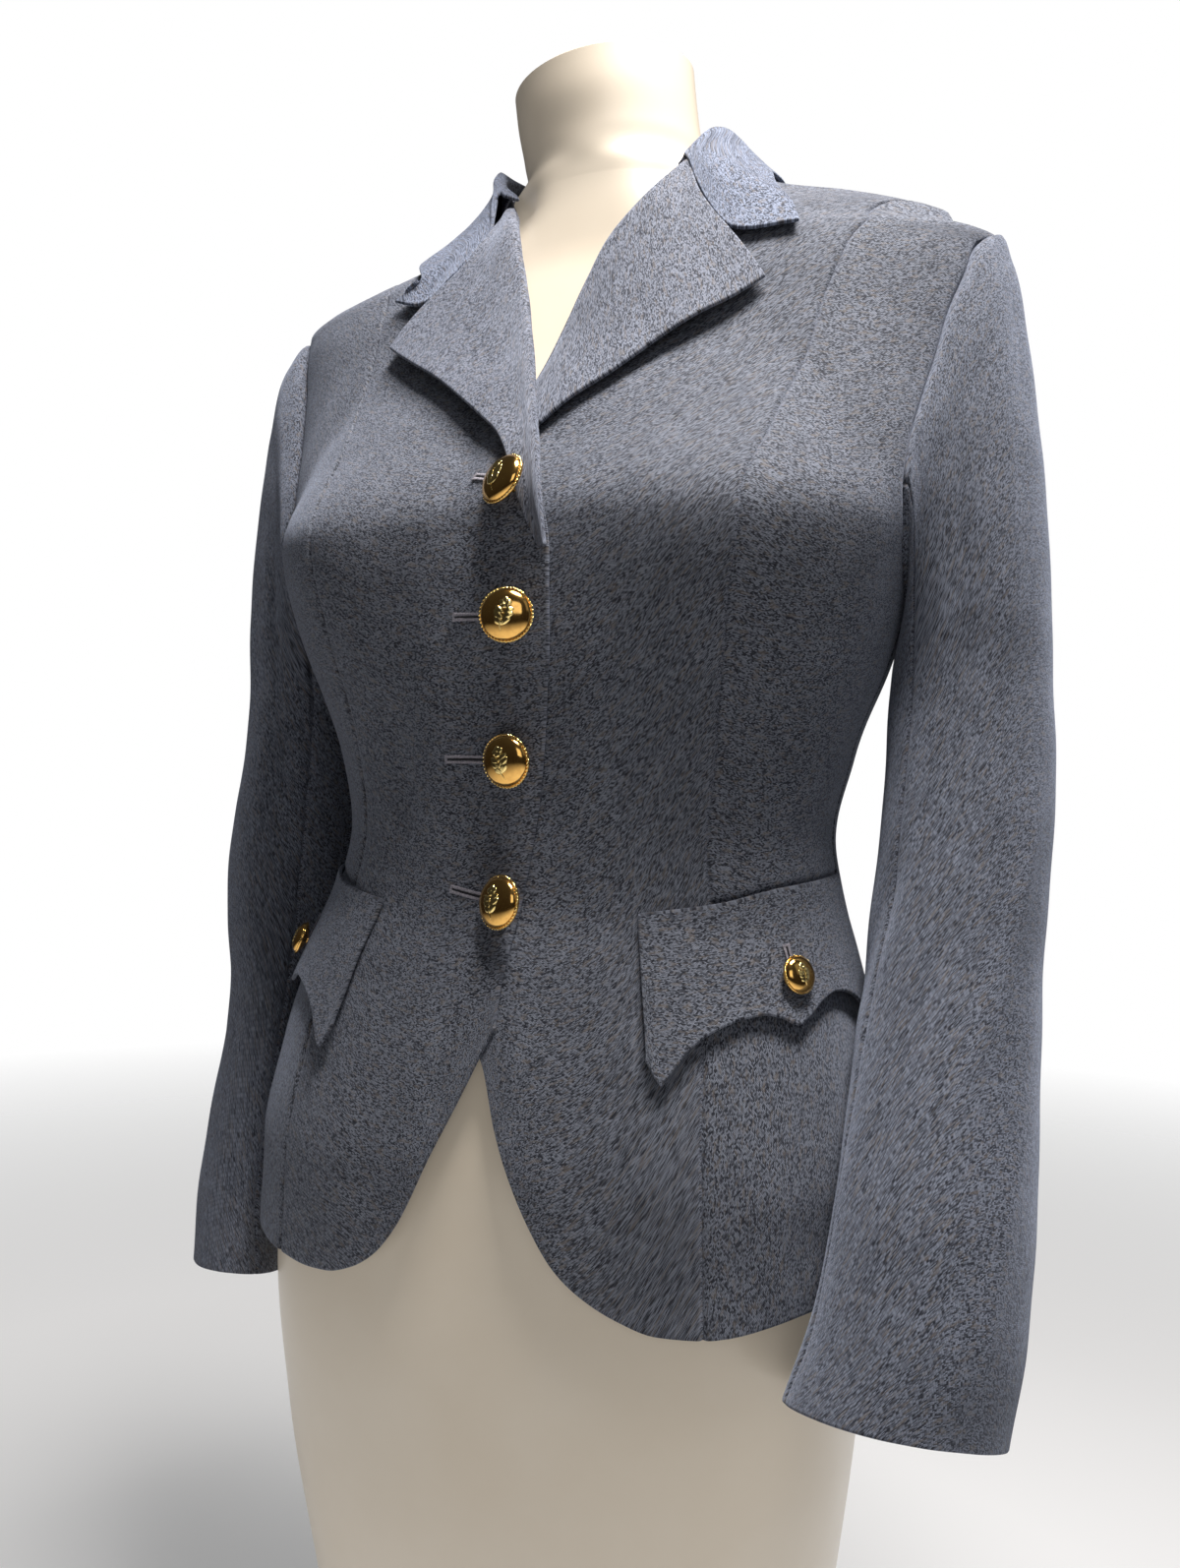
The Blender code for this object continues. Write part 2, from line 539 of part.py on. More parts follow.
def make_side_front(side, material):
    share = np.linspace(0.0, 1.0, SIDE_COLUMNS + 1)
    rows = [row for row in panel_rows() if row <= princess_top(side)]
    angles = []
    drops = []
    for row in rows:
        start = princess_angle(side, row) + SEAM_TURN
        end = front_side_angle(row) - side_turn(side, row)
        angles.append(start + (end - start) * share)
        drops.append(np.full(share.shape, row))
    start = princess_angle(side, PRINCESS_WAIST) + SEAM_TURN
    angles.append(start + (SIDE_SEAM - SEAM_TURN - start) * share)
    drops.append(waist_drop(angles[-1]) + 0.5 * GAP)
    angle, drop = np.array(angles), np.array(drops)
    wall_object(
        "side_front_upper_" + own_side(side),
        torso(side * angle, drop),
        torso(side * angle, drop, -WALL),
        material,
    )
    top = drops[-1] - GAP
    angles = [angles[-1]]
    drops = [top]
    for row in HIP_ROWS:
        start = princess_angle(side, row) + SEAM_TURN
        angles.append(start + (SIDE_SEAM - SEAM_TURN - start) * share)
        drops.append(np.full(share.shape, row))
    foot = hem_rows(side, 0.0, SIDE_SEAM - SEAM_TURN, share, "start")
    angle, drop = np.array(angles + foot[0]), np.array(drops + foot[1])
    wall_object(
        "side_front_lower_" + own_side(side),
        torso(side * angle, drop),
        torso(side * angle, drop, -WALL),
        material,
    )


def make_back(side, material):
    rows = panel_rows() + [PRINCESS_WAIST] + HIP_ROWS
    starts = [back_side_angle(row) + side_turn(side, row) for row in rows]
    ends = [180.0 - SEAM_TURN for row in rows]
    name = "back_" + own_side(side)
    return panel_object(name, side, starts, ends, rows, material)


def sleeve_ring(side, table, drop, around):
    """A point of a level ring; around is 0 outside, 90 in front and 180 beside the body."""
    turn = math.radians(float(smooth(table, "turn", drop)))
    roundness = 2.0 / float(smooth(table, "power", drop))
    cosine = math.cos(math.radians(around))
    sine = math.sin(math.radians(around))
    x = float(smooth(table, "half_width", drop)) * math.copysign(abs(cosine) ** roundness, cosine)
    y = -float(smooth(table, "half_depth", drop)) * math.copysign(abs(sine) ** roundness, sine)
    centre_x = float(smooth(table, "centre_x", drop))
    centre_y = float(smooth(table, "centre_y", drop))
    ring_x = centre_x + x * math.cos(turn) - y * math.sin(turn)
    ring_y = centre_y + x * math.sin(turn) + y * math.cos(turn)
    fall = float(smooth(table, "slope_x", drop)) * (ring_x - centre_x)
    fall += float(smooth(table, "slope_y", drop)) * (ring_y - centre_y)
    return np.array([side * ring_x, ring_y, drop + fall + SHOULDER_HEIGHT])


def armhole_stations():
    """The armhole's points as angle, drop and place round the sleeve, front first."""
    top, bottom = ARMHOLE_ROWS[0], ARMHOLE_ROWS[-1]
    stations = []
    for row in ARMHOLE_ROWS:
        around = math.degrees(math.acos(1 - 2 * (top - row) / (top - bottom)))
        stations.append((float(armhole_angle("front", row)), row, around))
    for row in ARMHOLE_ROWS[-2:0:-1]:
        around = math.degrees(math.acos(1 - 2 * (top - row) / (top - bottom)))
        stations.append((float(armhole_angle("back", row)), row, 360.0 - around))
    return stations


def sleeve_column(side, table, angle, drop, around):
    """One lengthwise line of a sleeve, from inside the armhole to the cuff."""
    centre = torso(side * 90.0, 0.5 * (ARMHOLE_ROWS[0] + ARMHOLE_ROWS[-1]))
    seam = torso(side * angle, drop)
    inward = (centre - seam) / np.linalg.norm(centre - seam)
    start = seam + inward * GAP
    out = torso(side * angle, drop, 1.0) - seam
    arm = sleeve_ring(side, table, ARM_TOP, around)
    height = start[2] - arm[2]
    lead = start + out * (CAP_FULLNESS[own_side(side)] + CAP_LEAN * height)
    follow = arm + np.array([0.0, 0.0, CAP_FOLLOW * height])
    points = [start - out * CAP_TUCK, start + out * CAP_START]
    for t in CAP_STEPS:
        curve = (1 - t) ** 3 * start + 3 * t * (1 - t) ** 2 * lead
        points.append(curve + 3 * t * t * (1 - t) * follow + t ** 3 * arm)
    for drop_here in np.linspace(ARM_TOP, table[0].drop, ARM_RINGS):
        points.append(sleeve_ring(side, table, float(drop_here), around))
    return np.array(points)


def make_sleeve(side, table, material):
    columns = [sleeve_column(side, table, *station) for station in armhole_stations()]
    tube = np.array(columns)
    count = len(columns)
    inner = tube + WALL * tube_inward(tube)
    front, back = FRONT_SEAM_INDEX, count - FRONT_SEAM_INDEX
    for name, first, last in (("under", front, back), ("upper", back, front + count)):
        picks = [first + SEAM_SHARE] + list(range(first + 1, last)) + [last - SEAM_SHARE]
        outer_grid = np.array([tube_line(tube, pick) for pick in picks])
        inner_grid = np.array([tube_line(inner, pick) for pick in picks])
        wall_object("sleeve_%s_%s" % (name, own_side(side)), outer_grid, inner_grid, material)


def tube_inward(tube):
    """Unit normals of a closed tube of lengthwise lines, pointing into it."""
    around = np.roll(tube, -1, axis=0) - np.roll(tube, 1, axis=0)
    along = np.gradient(tube, axis=1)
    normal = np.cross(around, along)
    normal /= np.linalg.norm(normal, axis=-1, keepdims=True)
    centre = tube.mean(axis=0, keepdims=True)
    facing = np.sign(((centre - tube) * normal).sum(axis=-1, keepdims=True))
    return normal * facing


def tube_line(tube, pick):
    whole = int(math.floor(pick))
    part = pick - whole
    count = len(tube)
    return tube[whole % count] * (1 - part) + tube[(whole + 1) % count] * part


def lapel_point(side, reach, drop, out):
    x = side * reach
    return torso(angle_at(x, drop), drop, out + lap_out(side, x, drop))


def make_lapel(side, material):
    """The turned-back front: a rolled edge at the roll line, then the face out to its edge."""
    name = own_side(side)
    rows = [row for row in LAPEL if getattr(row, name + "_reach") is not None]
    grid = []
    for index, row in enumerate(rows):
        roll_drop = getattr(row, name + "_roll")
        roll = float(smooth(FRONT_LINE, name, roll_drop))
        edge = getattr(row, name + "_reach")
        edge_drop = getattr(row, name + "_drop")
        flat = 1.0
        if side > 0:
            first, last = (len(rows) - count for count in TUCKED_ROWS)
            flat = 1.0 - TUCKED_FLATNESS * float(ease(index, first, last))
        width = math.hypot(edge - roll, edge_drop - roll_drop)
        toward_x = (edge - roll) / width
        toward_z = (edge_drop - roll_drop) / width
        line = []
        for spot in ROLL:
            reach = roll - toward_x * spot.beyond
            drop = roll_drop - toward_z * spot.beyond
            out = LAPEL_LIE + (spot.out - LAPEL_LIE) * flat
            line.append(lapel_point(side, reach, drop, out))
        stand_off = LAPEL_WALL + LAPEL_LIE + (row.stand_off - LAPEL_LIE) * flat
        crown = LAPEL_WALL + LAPEL_LIE + (ROLL_CROWN - LAPEL_WALL) * flat
        for share in LAPEL_STEPS:
            bow = getattr(row, name + "_bow") * gorge_bow(share / NOTCH_SHARE)
            reach = roll + (edge - roll) * share + toward_z * bow
            drop = roll_drop + (edge_drop - roll_drop) * share - toward_x * bow
            out = crown + (stand_off - crown) * float(ease(share, 0.0, 1.0))
            line.append(lapel_point(side, reach, drop, out))
        grid.append(line)
    grid = np.array(grid)
    normal = grid_normals(grid)
    facing = np.sign(normal[len(rows) // 2, -2, 1])
    inner = grid + normal * facing * LAPEL_WALL
    wall_object("lapel_" + name, grid, inner, material)


def gorge_bow(part):
    """How far the gorge seam bows below a straight line, from 0 at its ends to 1 between."""
    return math.sin(math.pi * min(part, 1.0))


def cloth_below(point):
    """The place on the body cloth at a point's own angle and drop, and the cloth's normal there."""
    drop = point[2] - SHOULDER_HEIGHT
    x = point[0] - float(smooth(TORSO, "sway", drop))
    y = point[1] - float(smooth(TORSO, "side_y", drop))
    angle = math.degrees(math.atan2(x, -y))
    surface = torso(angle, drop)
    return surface, torso(angle, drop, 1.0) - surface


def off_front(side, point, gap):
    """Push a point out along the cloth's normal until it stands at least gap off the front."""
    surface, normal = cloth_below(point)
    height = float(np.dot(point - surface, normal))
    lap = float(lap_out(side, point[0], point[2] - SHOULDER_HEIGHT))
    return point + normal * max(0.0, gap + lap - height)


def collar_section(side, section, front):
    """One cross-section of the collar, base to outer edge; the front one ends the strip."""
    angle = math.radians(section.angle)
    outward = np.array([side * math.sin(angle), -math.cos(angle), 0.0])
    centre = np.array([0.0, NECK_CENTRE_Y, SHOULDER_HEIGHT])
    up = np.array([0.0, 0.0, 1.0])
    top = centre + outward * section.fold_radius + up * section.fold_rise
    base = torso(side * section.angle, section.base_drop)
    stand = section.fold_rise - section.base_drop
    fold = min(FOLD_HALF_WIDTH, FOLD_STAND_SHARE * stand + FOLD_LEAST)
    inside = top - outward * fold - up * fold
    outside = top + outward * fold - up * fold
    points = [base, 0.5 * (base + inside), inside, top, outside]
    name = own_side(side)
    edge_angle = side * getattr(section, name + "_angle")
    edge = torso(edge_angle, getattr(section, name + "_drop"), COLLAR_OUT)
    close = float(ease(section.angle, *RIGHT_BEND_TURN)) if side < 0 else 0.0
    bend_drop = section.base_drop - RIGHT_BEND_BELOW * close
    bend = torso(side * section.angle, bend_drop, COLLAR_BEND_OUT - RIGHT_BEND_IN * close)
    for share in FALL_STEPS:
        along = (1 - share) ** 2 * outside + 2 * share * (1 - share) * bend + share ** 2 * edge
        if front:
            along = gorge_point(side, share, edge)
        points.append(off_front(side, along, COLLAR_OUT))
    return points


def gorge_point(side, share, tip):
    """The collar's front end: the gorge seam down to the notch, then the notch's edge."""
    notch = NOTCH[own_side(side)]
    notch_share = FALL_STEPS[2]
    if share <= notch_share:
        start_drop = getattr(LAPEL[0], own_side(side) + "_roll") + GORGE_ABOVE_LAPEL
        start = float(smooth(FRONT_LINE, own_side(side), start_drop))
        part = share / notch_share
        width = math.hypot(notch.reach - start, notch.drop - start_drop)
        bow = getattr(LAPEL[0], own_side(side) + "_bow") * gorge_bow(part) / width
        x = side * (start + (notch.reach - start) * part + (notch.drop - start_drop) * bow)
        drop = start_drop + (notch.drop - start_drop) * part - (notch.reach - start) * bow
        return torso(angle_at(x, drop), drop, COLLAR_OUT + GORGE_RISE * (1 - part))
    part = (share - notch_share) / (1 - notch_share)
    corner = torso(angle_at(side * notch.reach, notch.drop), notch.drop, COLLAR_OUT)
    return corner + (tip - corner) * part


def make_collar(material):
    halves = []
    for side in (1, -1):
        sections = [collar_section(side, row, row is COLLAR[0]) for row in COLLAR]
        halves.append(np.array(sections))
    grid = np.concatenate([halves[0], halves[1][-2::-1]])
    normal = grid_normals(grid)
    facing = -np.sign(normal[len(COLLAR) - 1, -2, 1])
    inner = grid + normal * facing * WALL
    for row, line in enumerate(grid):
        inner[row, -1] = line[-1] - cloth_below(line[-1])[1] * WALL
    wall_object("collar", grid, inner, material)


def make_flap(side, material):
    """A pointed flap from the waist seam, flared a little towards its lower edge."""
    grid = []
    for share in FLAP_STEPS:
        line = []
        for edge in FLAP:
            top = float(waist_drop(edge.angle)) - FLAP_TOP_GAP
            drop = top + (edge.drop - top) * share
            out = FLAP_SEAM_OUT + FLAP_FLARE * share + flap_base(side, edge.angle, drop)
            line.append(torso(side * edge.angle, drop, out))
        grid.append(line)
    grid = np.array(grid)
    inner = []
    for share in FLAP_STEPS:
        line = []
        for edge in FLAP:
            top = float(waist_drop(edge.angle)) - FLAP_TOP_GAP
            drop = top + (edge.drop - top) * share
            out = FLAP_SEAM_OUT + FLAP_FLARE * share + flap_base(side, edge.angle, drop) - WALL
            line.append(torso(side * edge.angle, drop, out))
        inner.append(line)
    wall_object("flap_" + own_side(side), grid, np.array(inner), material)


def flap_base(side, angle, drop):
    x = torso_point(side * angle, drop)[..., 0]
    return float(lap_out(side, x, drop))


def make_button(name, place, normal, radius, tilt, material):
    """A domed shank button; tilt turns its face about the vertical, towards +X if above zero."""
    sine = abs(math.sin(math.radians(tilt)))
    shank = SHANK_LENGTH + SHANK_TILT_REACH * radius * sine / math.cos(math.radians(tilt))
    foot = GAP + SHANK_FOOT_TILT * SHANK_RADIUS * sine
    brim = shank + BUTTON_RIM[0].height
    profile = []
    for step in range(DOME_STEPS):
        lean = math.radians(90.0 * step / DOME_STEPS)
        rise = DOME_HEIGHT * radius * math.cos(lean)
        profile.append((DOME_SPREAD * radius * math.sin(lean), brim + rise))
    profile += [(turn.share * radius, shank + turn.height) for turn in BUTTON_RIM]
    profile.append((SHANK_RADIUS, shank + SHANK_TOP))
    profile.append((SHANK_RADIUS, 0.0))
    profile.append((0.0, 0.0))
    mesh = bpy.data.meshes.new(name)
    edges = [(k, k + 1) for k in range(len(profile) - 1)]
    mesh.from_pydata([(r, 0.0, h) for r, h in profile], edges, [])
    item = bpy.data.objects.new(name, mesh)
    COLLECTION.objects.link(item)
    screw = item.modifiers.new("Turned", "SCREW")
    screw.steps = BUTTON_SEGMENTS
    screw.render_steps = BUTTON_SEGMENTS
    screw.use_merge_vertices = True
    screw.merge_threshold = 0.00001
    screw.use_normal_calculate = True
    mesh.materials.append(material)
    facing = Matrix.Rotation(math.radians(tilt), 3, "Z") @ Vector(normal)
    item.rotation_euler = facing.to_track_quat("Z", "Y").to_euler()
    item.location = Vector(place) + Vector(normal) * foot
    return item


def make_front_buttons(material):
    for button in FRONT_BUTTONS:
        angle = float(angle_at(button.x, button.drop))
        out = float(lap_out(-1, button.x, button.drop))
        place = torso(angle, button.drop, out)
        normal = torso(angle, button.drop, out + 1.0) - place
        make_button(button.name, place, normal, button.radius, button.tilt, material)


def make_flap_button(side, material):
    angle = side * FLAP_BUTTON_ANGLE
    top = float(waist_drop(FLAP_BUTTON_ANGLE)) - FLAP_TOP_GAP
    lower = float(smooth(FLAP, "drop", FLAP_BUTTON_ANGLE))
    share = (FLAP_BUTTON_DROP - top) / (lower - top)
    out = FLAP_SEAM_OUT + FLAP_FLARE * share
    place = torso(angle, FLAP_BUTTON_DROP, out)
    normal = torso(angle, FLAP_BUTTON_DROP, out + 1.0) - place
    make_button("button_flap_" + own_side(side), place, normal, FLAP_BUTTON_RADIUS, 0.0, material)


def make_form(material):
    """The torso and neck, closed at a flat underside and a tilted flat top."""
    turns = np.linspace(0.0, 360.0, FORM_COLUMNS, endpoint=False)
    rings = []
    bottom = torso(turns, FORM_ROWS[0], -FORM_BOTTOM_INSET)
    bottom[:, 2] = FORM_BOTTOM + SHOULDER_HEIGHT
    rings.append(bottom)
    for drop in FORM_ROWS:
        rings.append(torso(turns, drop, -float(smooth(FORM_INSET, "inset", drop))))
    for ring in NECK:
        x = ring.centre_x + ring.radius * np.sin(np.radians(turns))
        y = ring.centre_y - ring.radius * np.cos(np.radians(turns))
        z = SHOULDER_HEIGHT + ring.rise + ring.tilt_x * (x - ring.centre_x) + ring.tilt_y * y
        rings.append(np.stack([x, y, z], axis=-1))
    points = np.concatenate(rings)
    faces = []
    for i in range(len(rings) - 1):
        for j in range(FORM_COLUMNS):
            a = i * FORM_COLUMNS + j
            b = i * FORM_COLUMNS + (j + 1) % FORM_COLUMNS
            faces.append((a, b, b + FORM_COLUMNS, a + FORM_COLUMNS))
    last = (len(rings) - 1) * FORM_COLUMNS
    faces.append(tuple(range(FORM_COLUMNS - 1, -1, -1)))
    faces.append(tuple(range(last, last + FORM_COLUMNS)))
    solid_object("form_torso", points, faces, material)


def make_stand(steel):
    bpy.ops.mesh.primitive_cylinder_add(
        vertices=48, radius=BASE_RADIUS, depth=BASE_THICKNESS, location=(0, 0, 0.5 * BASE_THICKNESS)
    )
    base = bpy.context.object
    base.name = base.data.name = "stand_base"
    bevel = base.modifiers.new("Rounded edge", "BEVEL")
    bevel.width = BASE_EDGE
    bevel.segments = 2
    bevel.limit_method = "ANGLE"
    bottom = BASE_THICKNESS + GAP
    top = SHOULDER_HEIGHT + FORM_BOTTOM - GAP
    bpy.ops.mesh.primitive_cylinder_add(
        vertices=28, radius=POST_RADIUS, depth=top - bottom, location=(0, 0, 0.5 * (top + bottom))
    )
    post = bpy.context.object
    post.name = post.data.name = "stand_post"
    for item in (base, post):
        item.data.materials.append(steel)
        for holder in list(item.users_collection):
            holder.objects.unlink(item)
        COLLECTION.objects.link(item)


for old in list(bpy.data.objects):
    bpy.data.objects.remove(old, do_unlink=True)
COLLECTION = bpy.data.collections.new("Military uniform jacket")
bpy.context.scene.collection.children.link(COLLECTION)

body_cloth = make_material("Body cloth", CLOTH_BLUE, 0.85)
collar_cloth = make_material("Collar cloth", COLLAR_BLUE, 0.85)
lapel_cloth = make_material("Lapel cloth", CLOTH_BLUE, 0.85)
sleeve_cloth = make_material("Sleeve cloth", CLOTH_BLUE, 0.85)
gold = make_material("Button metal", BUTTON_GOLD, 0.22, 1.0)
cream = make_material("Form shell", FORM_CREAM, 0.35)
steel = make_material("Stand steel", STEEL_GREY, 0.35, 1.0)

for side in (-1, 1):
    make_front(side, body_cloth)
    make_side_front(side, body_cloth)
    make_back(side, body_cloth)
    make_lapel(side, lapel_cloth)
    make_flap(side, body_cloth)
    make_flap_button(side, gold)
make_sleeve(1, SLEEVE_LEFT, sleeve_cloth)
make_sleeve(-1, SLEEVE_RIGHT, sleeve_cloth)
make_collar(collar_cloth)
make_front_buttons(gold)
make_form(cream)
make_stand(steel)
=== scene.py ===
"""Looks of a fitted military uniform jacket on a limbless dress form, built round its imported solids.

Metres, +Z up. The front faces -Y and the wearer's left is +X. A drop is a height
measured from the shoulder point, an angle goes round the body from the centre front,
0, past the side, 90, to the centre back, 180, and a reach is a distance from the
centre line towards a front's own side.
"""

import math
from collections import namedtuple
from functools import lru_cache

import bmesh
import bpy
import numpy as np
from bpy.props import FloatProperty, FloatVectorProperty, PointerProperty
from mathutils import Matrix, Vector


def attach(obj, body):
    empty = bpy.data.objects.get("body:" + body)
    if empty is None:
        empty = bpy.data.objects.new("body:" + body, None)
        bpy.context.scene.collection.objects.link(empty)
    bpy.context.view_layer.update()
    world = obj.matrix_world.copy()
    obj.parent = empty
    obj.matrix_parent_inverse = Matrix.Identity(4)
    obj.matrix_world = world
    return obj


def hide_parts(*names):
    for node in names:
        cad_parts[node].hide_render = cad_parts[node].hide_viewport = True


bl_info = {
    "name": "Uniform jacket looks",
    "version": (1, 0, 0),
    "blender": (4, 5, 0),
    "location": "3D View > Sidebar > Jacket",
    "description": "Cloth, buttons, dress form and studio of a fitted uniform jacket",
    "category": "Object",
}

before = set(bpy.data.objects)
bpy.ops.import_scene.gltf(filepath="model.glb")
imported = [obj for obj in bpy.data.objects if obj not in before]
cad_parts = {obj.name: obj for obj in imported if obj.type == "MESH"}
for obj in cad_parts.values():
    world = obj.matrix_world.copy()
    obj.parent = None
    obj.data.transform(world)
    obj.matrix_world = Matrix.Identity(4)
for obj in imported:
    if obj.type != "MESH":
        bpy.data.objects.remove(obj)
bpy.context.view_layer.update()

# Sizes shared with the solids
SHOULDER_HEIGHT = 0.895
WALL = 0.0020
LAPEL_WALL = 0.0022
GAP = 0.0003

# The right front over the left: its lift, its swell over the bust and where each begins and ends
LAP_LIFT = 0.0023
LAP_BULGE = 0.0048
LAP_REACH = (0.060, 0.030)
LAP_LIMIT = 80.0
BULGE_REACH = (0.028, 0.004)
BULGE_TOP = (-0.020, -0.070)
BULGE_FOOT = (-0.172, -0.128)

# The body's rings by drop, and the fullness of the bust
Section = namedtuple(
    "Section", "drop half_width front back side_y squareness sway left_extra right_extra"
)
TORSO = [
    Section(-0.695, 0.146, 0.122, 0.106, -0.010, 2.40, -0.006, 0.0, 0.0),
    Section(-0.600, 0.158, 0.137, 0.120, -0.010, 2.60, -0.007, 0.0, 0.0),
    Section(-0.520, 0.163, 0.143, 0.125, -0.010, 2.75, -0.007, 0.0, 0.0),
    Section(-0.460, 0.163, 0.143, 0.127, -0.010, 2.75, -0.007, 0.0, 0.0),
    Section(-0.410, 0.157, 0.137, 0.120, -0.010, 2.60, -0.006, 0.0, 0.0),
    Section(-0.365, 0.146, 0.128, 0.102, -0.012, 2.42, -0.005, 0.0, 0.0),
    Section(-0.330, 0.136, 0.119, 0.086, -0.014, 2.30, -0.003, 0.0, 0.0),
    Section(-0.300, 0.130, 0.118, 0.078, -0.018, 2.30, -0.001, 0.0, 0.0),
    Section(-0.260, 0.138, 0.122, 0.080, -0.018, 2.30, 0.0, 0.0, 0.0),
    Section(-0.210, 0.156, 0.129, 0.090, -0.014, 2.35, 0.0, 0.0, 0.0),
    Section(-0.160, 0.171, 0.130, 0.102, -0.008, 2.40, 0.0, 0.0, 0.0),
    Section(-0.110, 0.187, 0.108, 0.110, -0.002, 2.30, 0.0, 0.0, 0.0),
    Section(-0.060, 0.198, 0.083, 0.112, 0.000, 2.10, 0.0, 0.0, 0.0),
    Section(-0.020, 0.203, 0.068, 0.108, 0.002, 2.00, 0.0, 0.0, 0.0),
    Section(-0.003, 0.203, 0.062, 0.103, 0.002, 1.88, 0.0, 0.0, 0.0),
    Section(0.006, 0.182, 0.0590, 0.1015, 0.003, 1.78, 0.0, 0.003, 0.002),
    Section(0.017, 0.162, 0.056, 0.097, 0.004, 1.60, 0.0, 0.015, -0.038),
    Section(0.028, 0.138, 0.0535, 0.092, 0.005, 1.46, 0.0, 0.013, -0.041),
    Section(0.038, 0.112, 0.052, 0.087, 0.005, 1.42, 0.0, 0.003, -0.030),
    Section(0.045, 0.094, 0.051, 0.083, 0.005, 1.50, 0.0, 0.0, -0.014),
    Section(0.052, 0.080, 0.0505, 0.079, 0.005, 1.65, 0.0, 0.0, -0.009),
    Section(0.070, 0.066, 0.049, 0.066, 0.004, 2.00, 0.0, 0.0, -0.003),
]
BUST_FULLNESS = 0.016
BUST_ANGLE = 44.0
BUST_ANGLE_SPREAD = 24.0
BUST_DROP = -0.165
BUST_DROP_SPREAD = 0.055
SHOULDER_ROUNDING = (0.75, 0.25)
NEAR_TURN = 0.05
NEAR_RISE = 0.0002
FIND_ROUNDS = 30

# Seams and edges, as angles round the body or reaches from the centre line
Seam = namedtuple("Seam", "drop right left")
PRINCESS = [
    Seam(-0.507, 43.0, 43.0), Seam(-0.445, 42.5, 42.5), Seam(-0.392, 44.0, 44.0),
    Seam(-0.327, 49.1, 49.1), Seam(-0.272, 49.3, 49.3), Seam(-0.225, 46.1, 46.1),
    Seam(-0.189, 43.0, 43.4), Seam(-0.154, 42.0, 42.9), Seam(-0.113, 49.0, 50.8),
    Seam(-0.069, 58.5, 61.3), Seam(-0.040, 61.5, 65.8), Seam(-0.012, 65.0, 71.0),
    Seam(0.004, 69.0, 76.0), Seam(0.014, 73.0, 80.0), Seam(0.0255, 81.0, 89.6),
    Seam(0.0335, 89.6, 90.0),
]
Armhole = namedtuple("Armhole", "drop front back")
ARMHOLE = [
    Armhole(-0.190, 90.0, 90.0), Armhole(-0.180, 83.0, 97.0), Armhole(-0.165, 76.0, 104.0),
    Armhole(-0.137, 71.2, 110.0), Armhole(-0.115, 72.2, 111.0), Armhole(-0.093, 75.0, 110.0),
    Armhole(-0.069, 78.0, 107.0), Armhole(-0.043, 80.5, 103.0), Armhole(-0.027, 82.5, 100.0),
    Armhole(-0.010, 85.1, 96.0), Armhole(-0.002, 90.0, 90.0),
]
FrontLine = namedtuple("FrontLine", "drop right left")
FRONT_LINE = [
    FrontLine(-0.370, -0.004, -0.006), FrontLine(-0.342, -0.007, -0.010),
    FrontLine(-0.311, -0.012, -0.014), FrontLine(-0.279, -0.017, -0.018),
    FrontLine(-0.244, -0.021, -0.021), FrontLine(-0.209, -0.024, -0.022),
    FrontLine(-0.174, -0.024, -0.022), FrontLine(-0.143, -0.019, -0.018),
    FrontLine(-0.112, -0.0085, -0.009), FrontLine(-0.086, 0.000, 0.000),
    FrontLine(-0.067, 0.006, 0.004), FrontLine(-0.050, 0.012, 0.0085),
    FrontLine(-0.030, 0.0185, 0.0140), FrontLine(-0.010, 0.0255, 0.0205),
    FrontLine(0.013, 0.0330, 0.0345), FrontLine(0.026, 0.0385, 0.0430),
    FrontLine(0.040, 0.0480, 0.0510), FrontLine(0.052, 0.0550, 0.0545),
]
Hem = namedtuple("Hem", "angle right left")
HEM = [
    Hem(-5, -0.384, -0.384), Hem(2, -0.420, -0.402), Hem(6, -0.441, -0.428),
    Hem(10, -0.462, -0.449), Hem(14, -0.479, -0.468), Hem(19, -0.493, -0.485),
    Hem(24, -0.501, -0.495), Hem(30, -0.506, -0.503), Hem(36, -0.507, -0.508),
    Hem(43, -0.506, -0.509), Hem(60, -0.503, -0.503), Hem(90, -0.500, -0.500),
    Hem(180, -0.496, -0.496),
]
Waist = namedtuple("Waist", "angle drop")
WAIST = [Waist(30, -0.336), Waist(50, -0.330), Waist(65, -0.323), Waist(95, -0.317)]

# Torso panels: drops of the neck seam, the armhole's rows and the row where the hems part
PANEL_TOP = 0.052
ARMHOLE_ROWS = [
    -0.002, -0.013, -0.030, -0.048, -0.070, -0.092, -0.115, -0.138, -0.160, -0.177, -0.190,
]
SIDE_STRAIGHT_BELOW = -0.227
HEM_START = -0.370
SIDE_SEAM = 92.0
SHOULDER_SEAM = 90.0
SHOULDER_GAP = 0.0004
PRINCESS_WAIST = -0.329

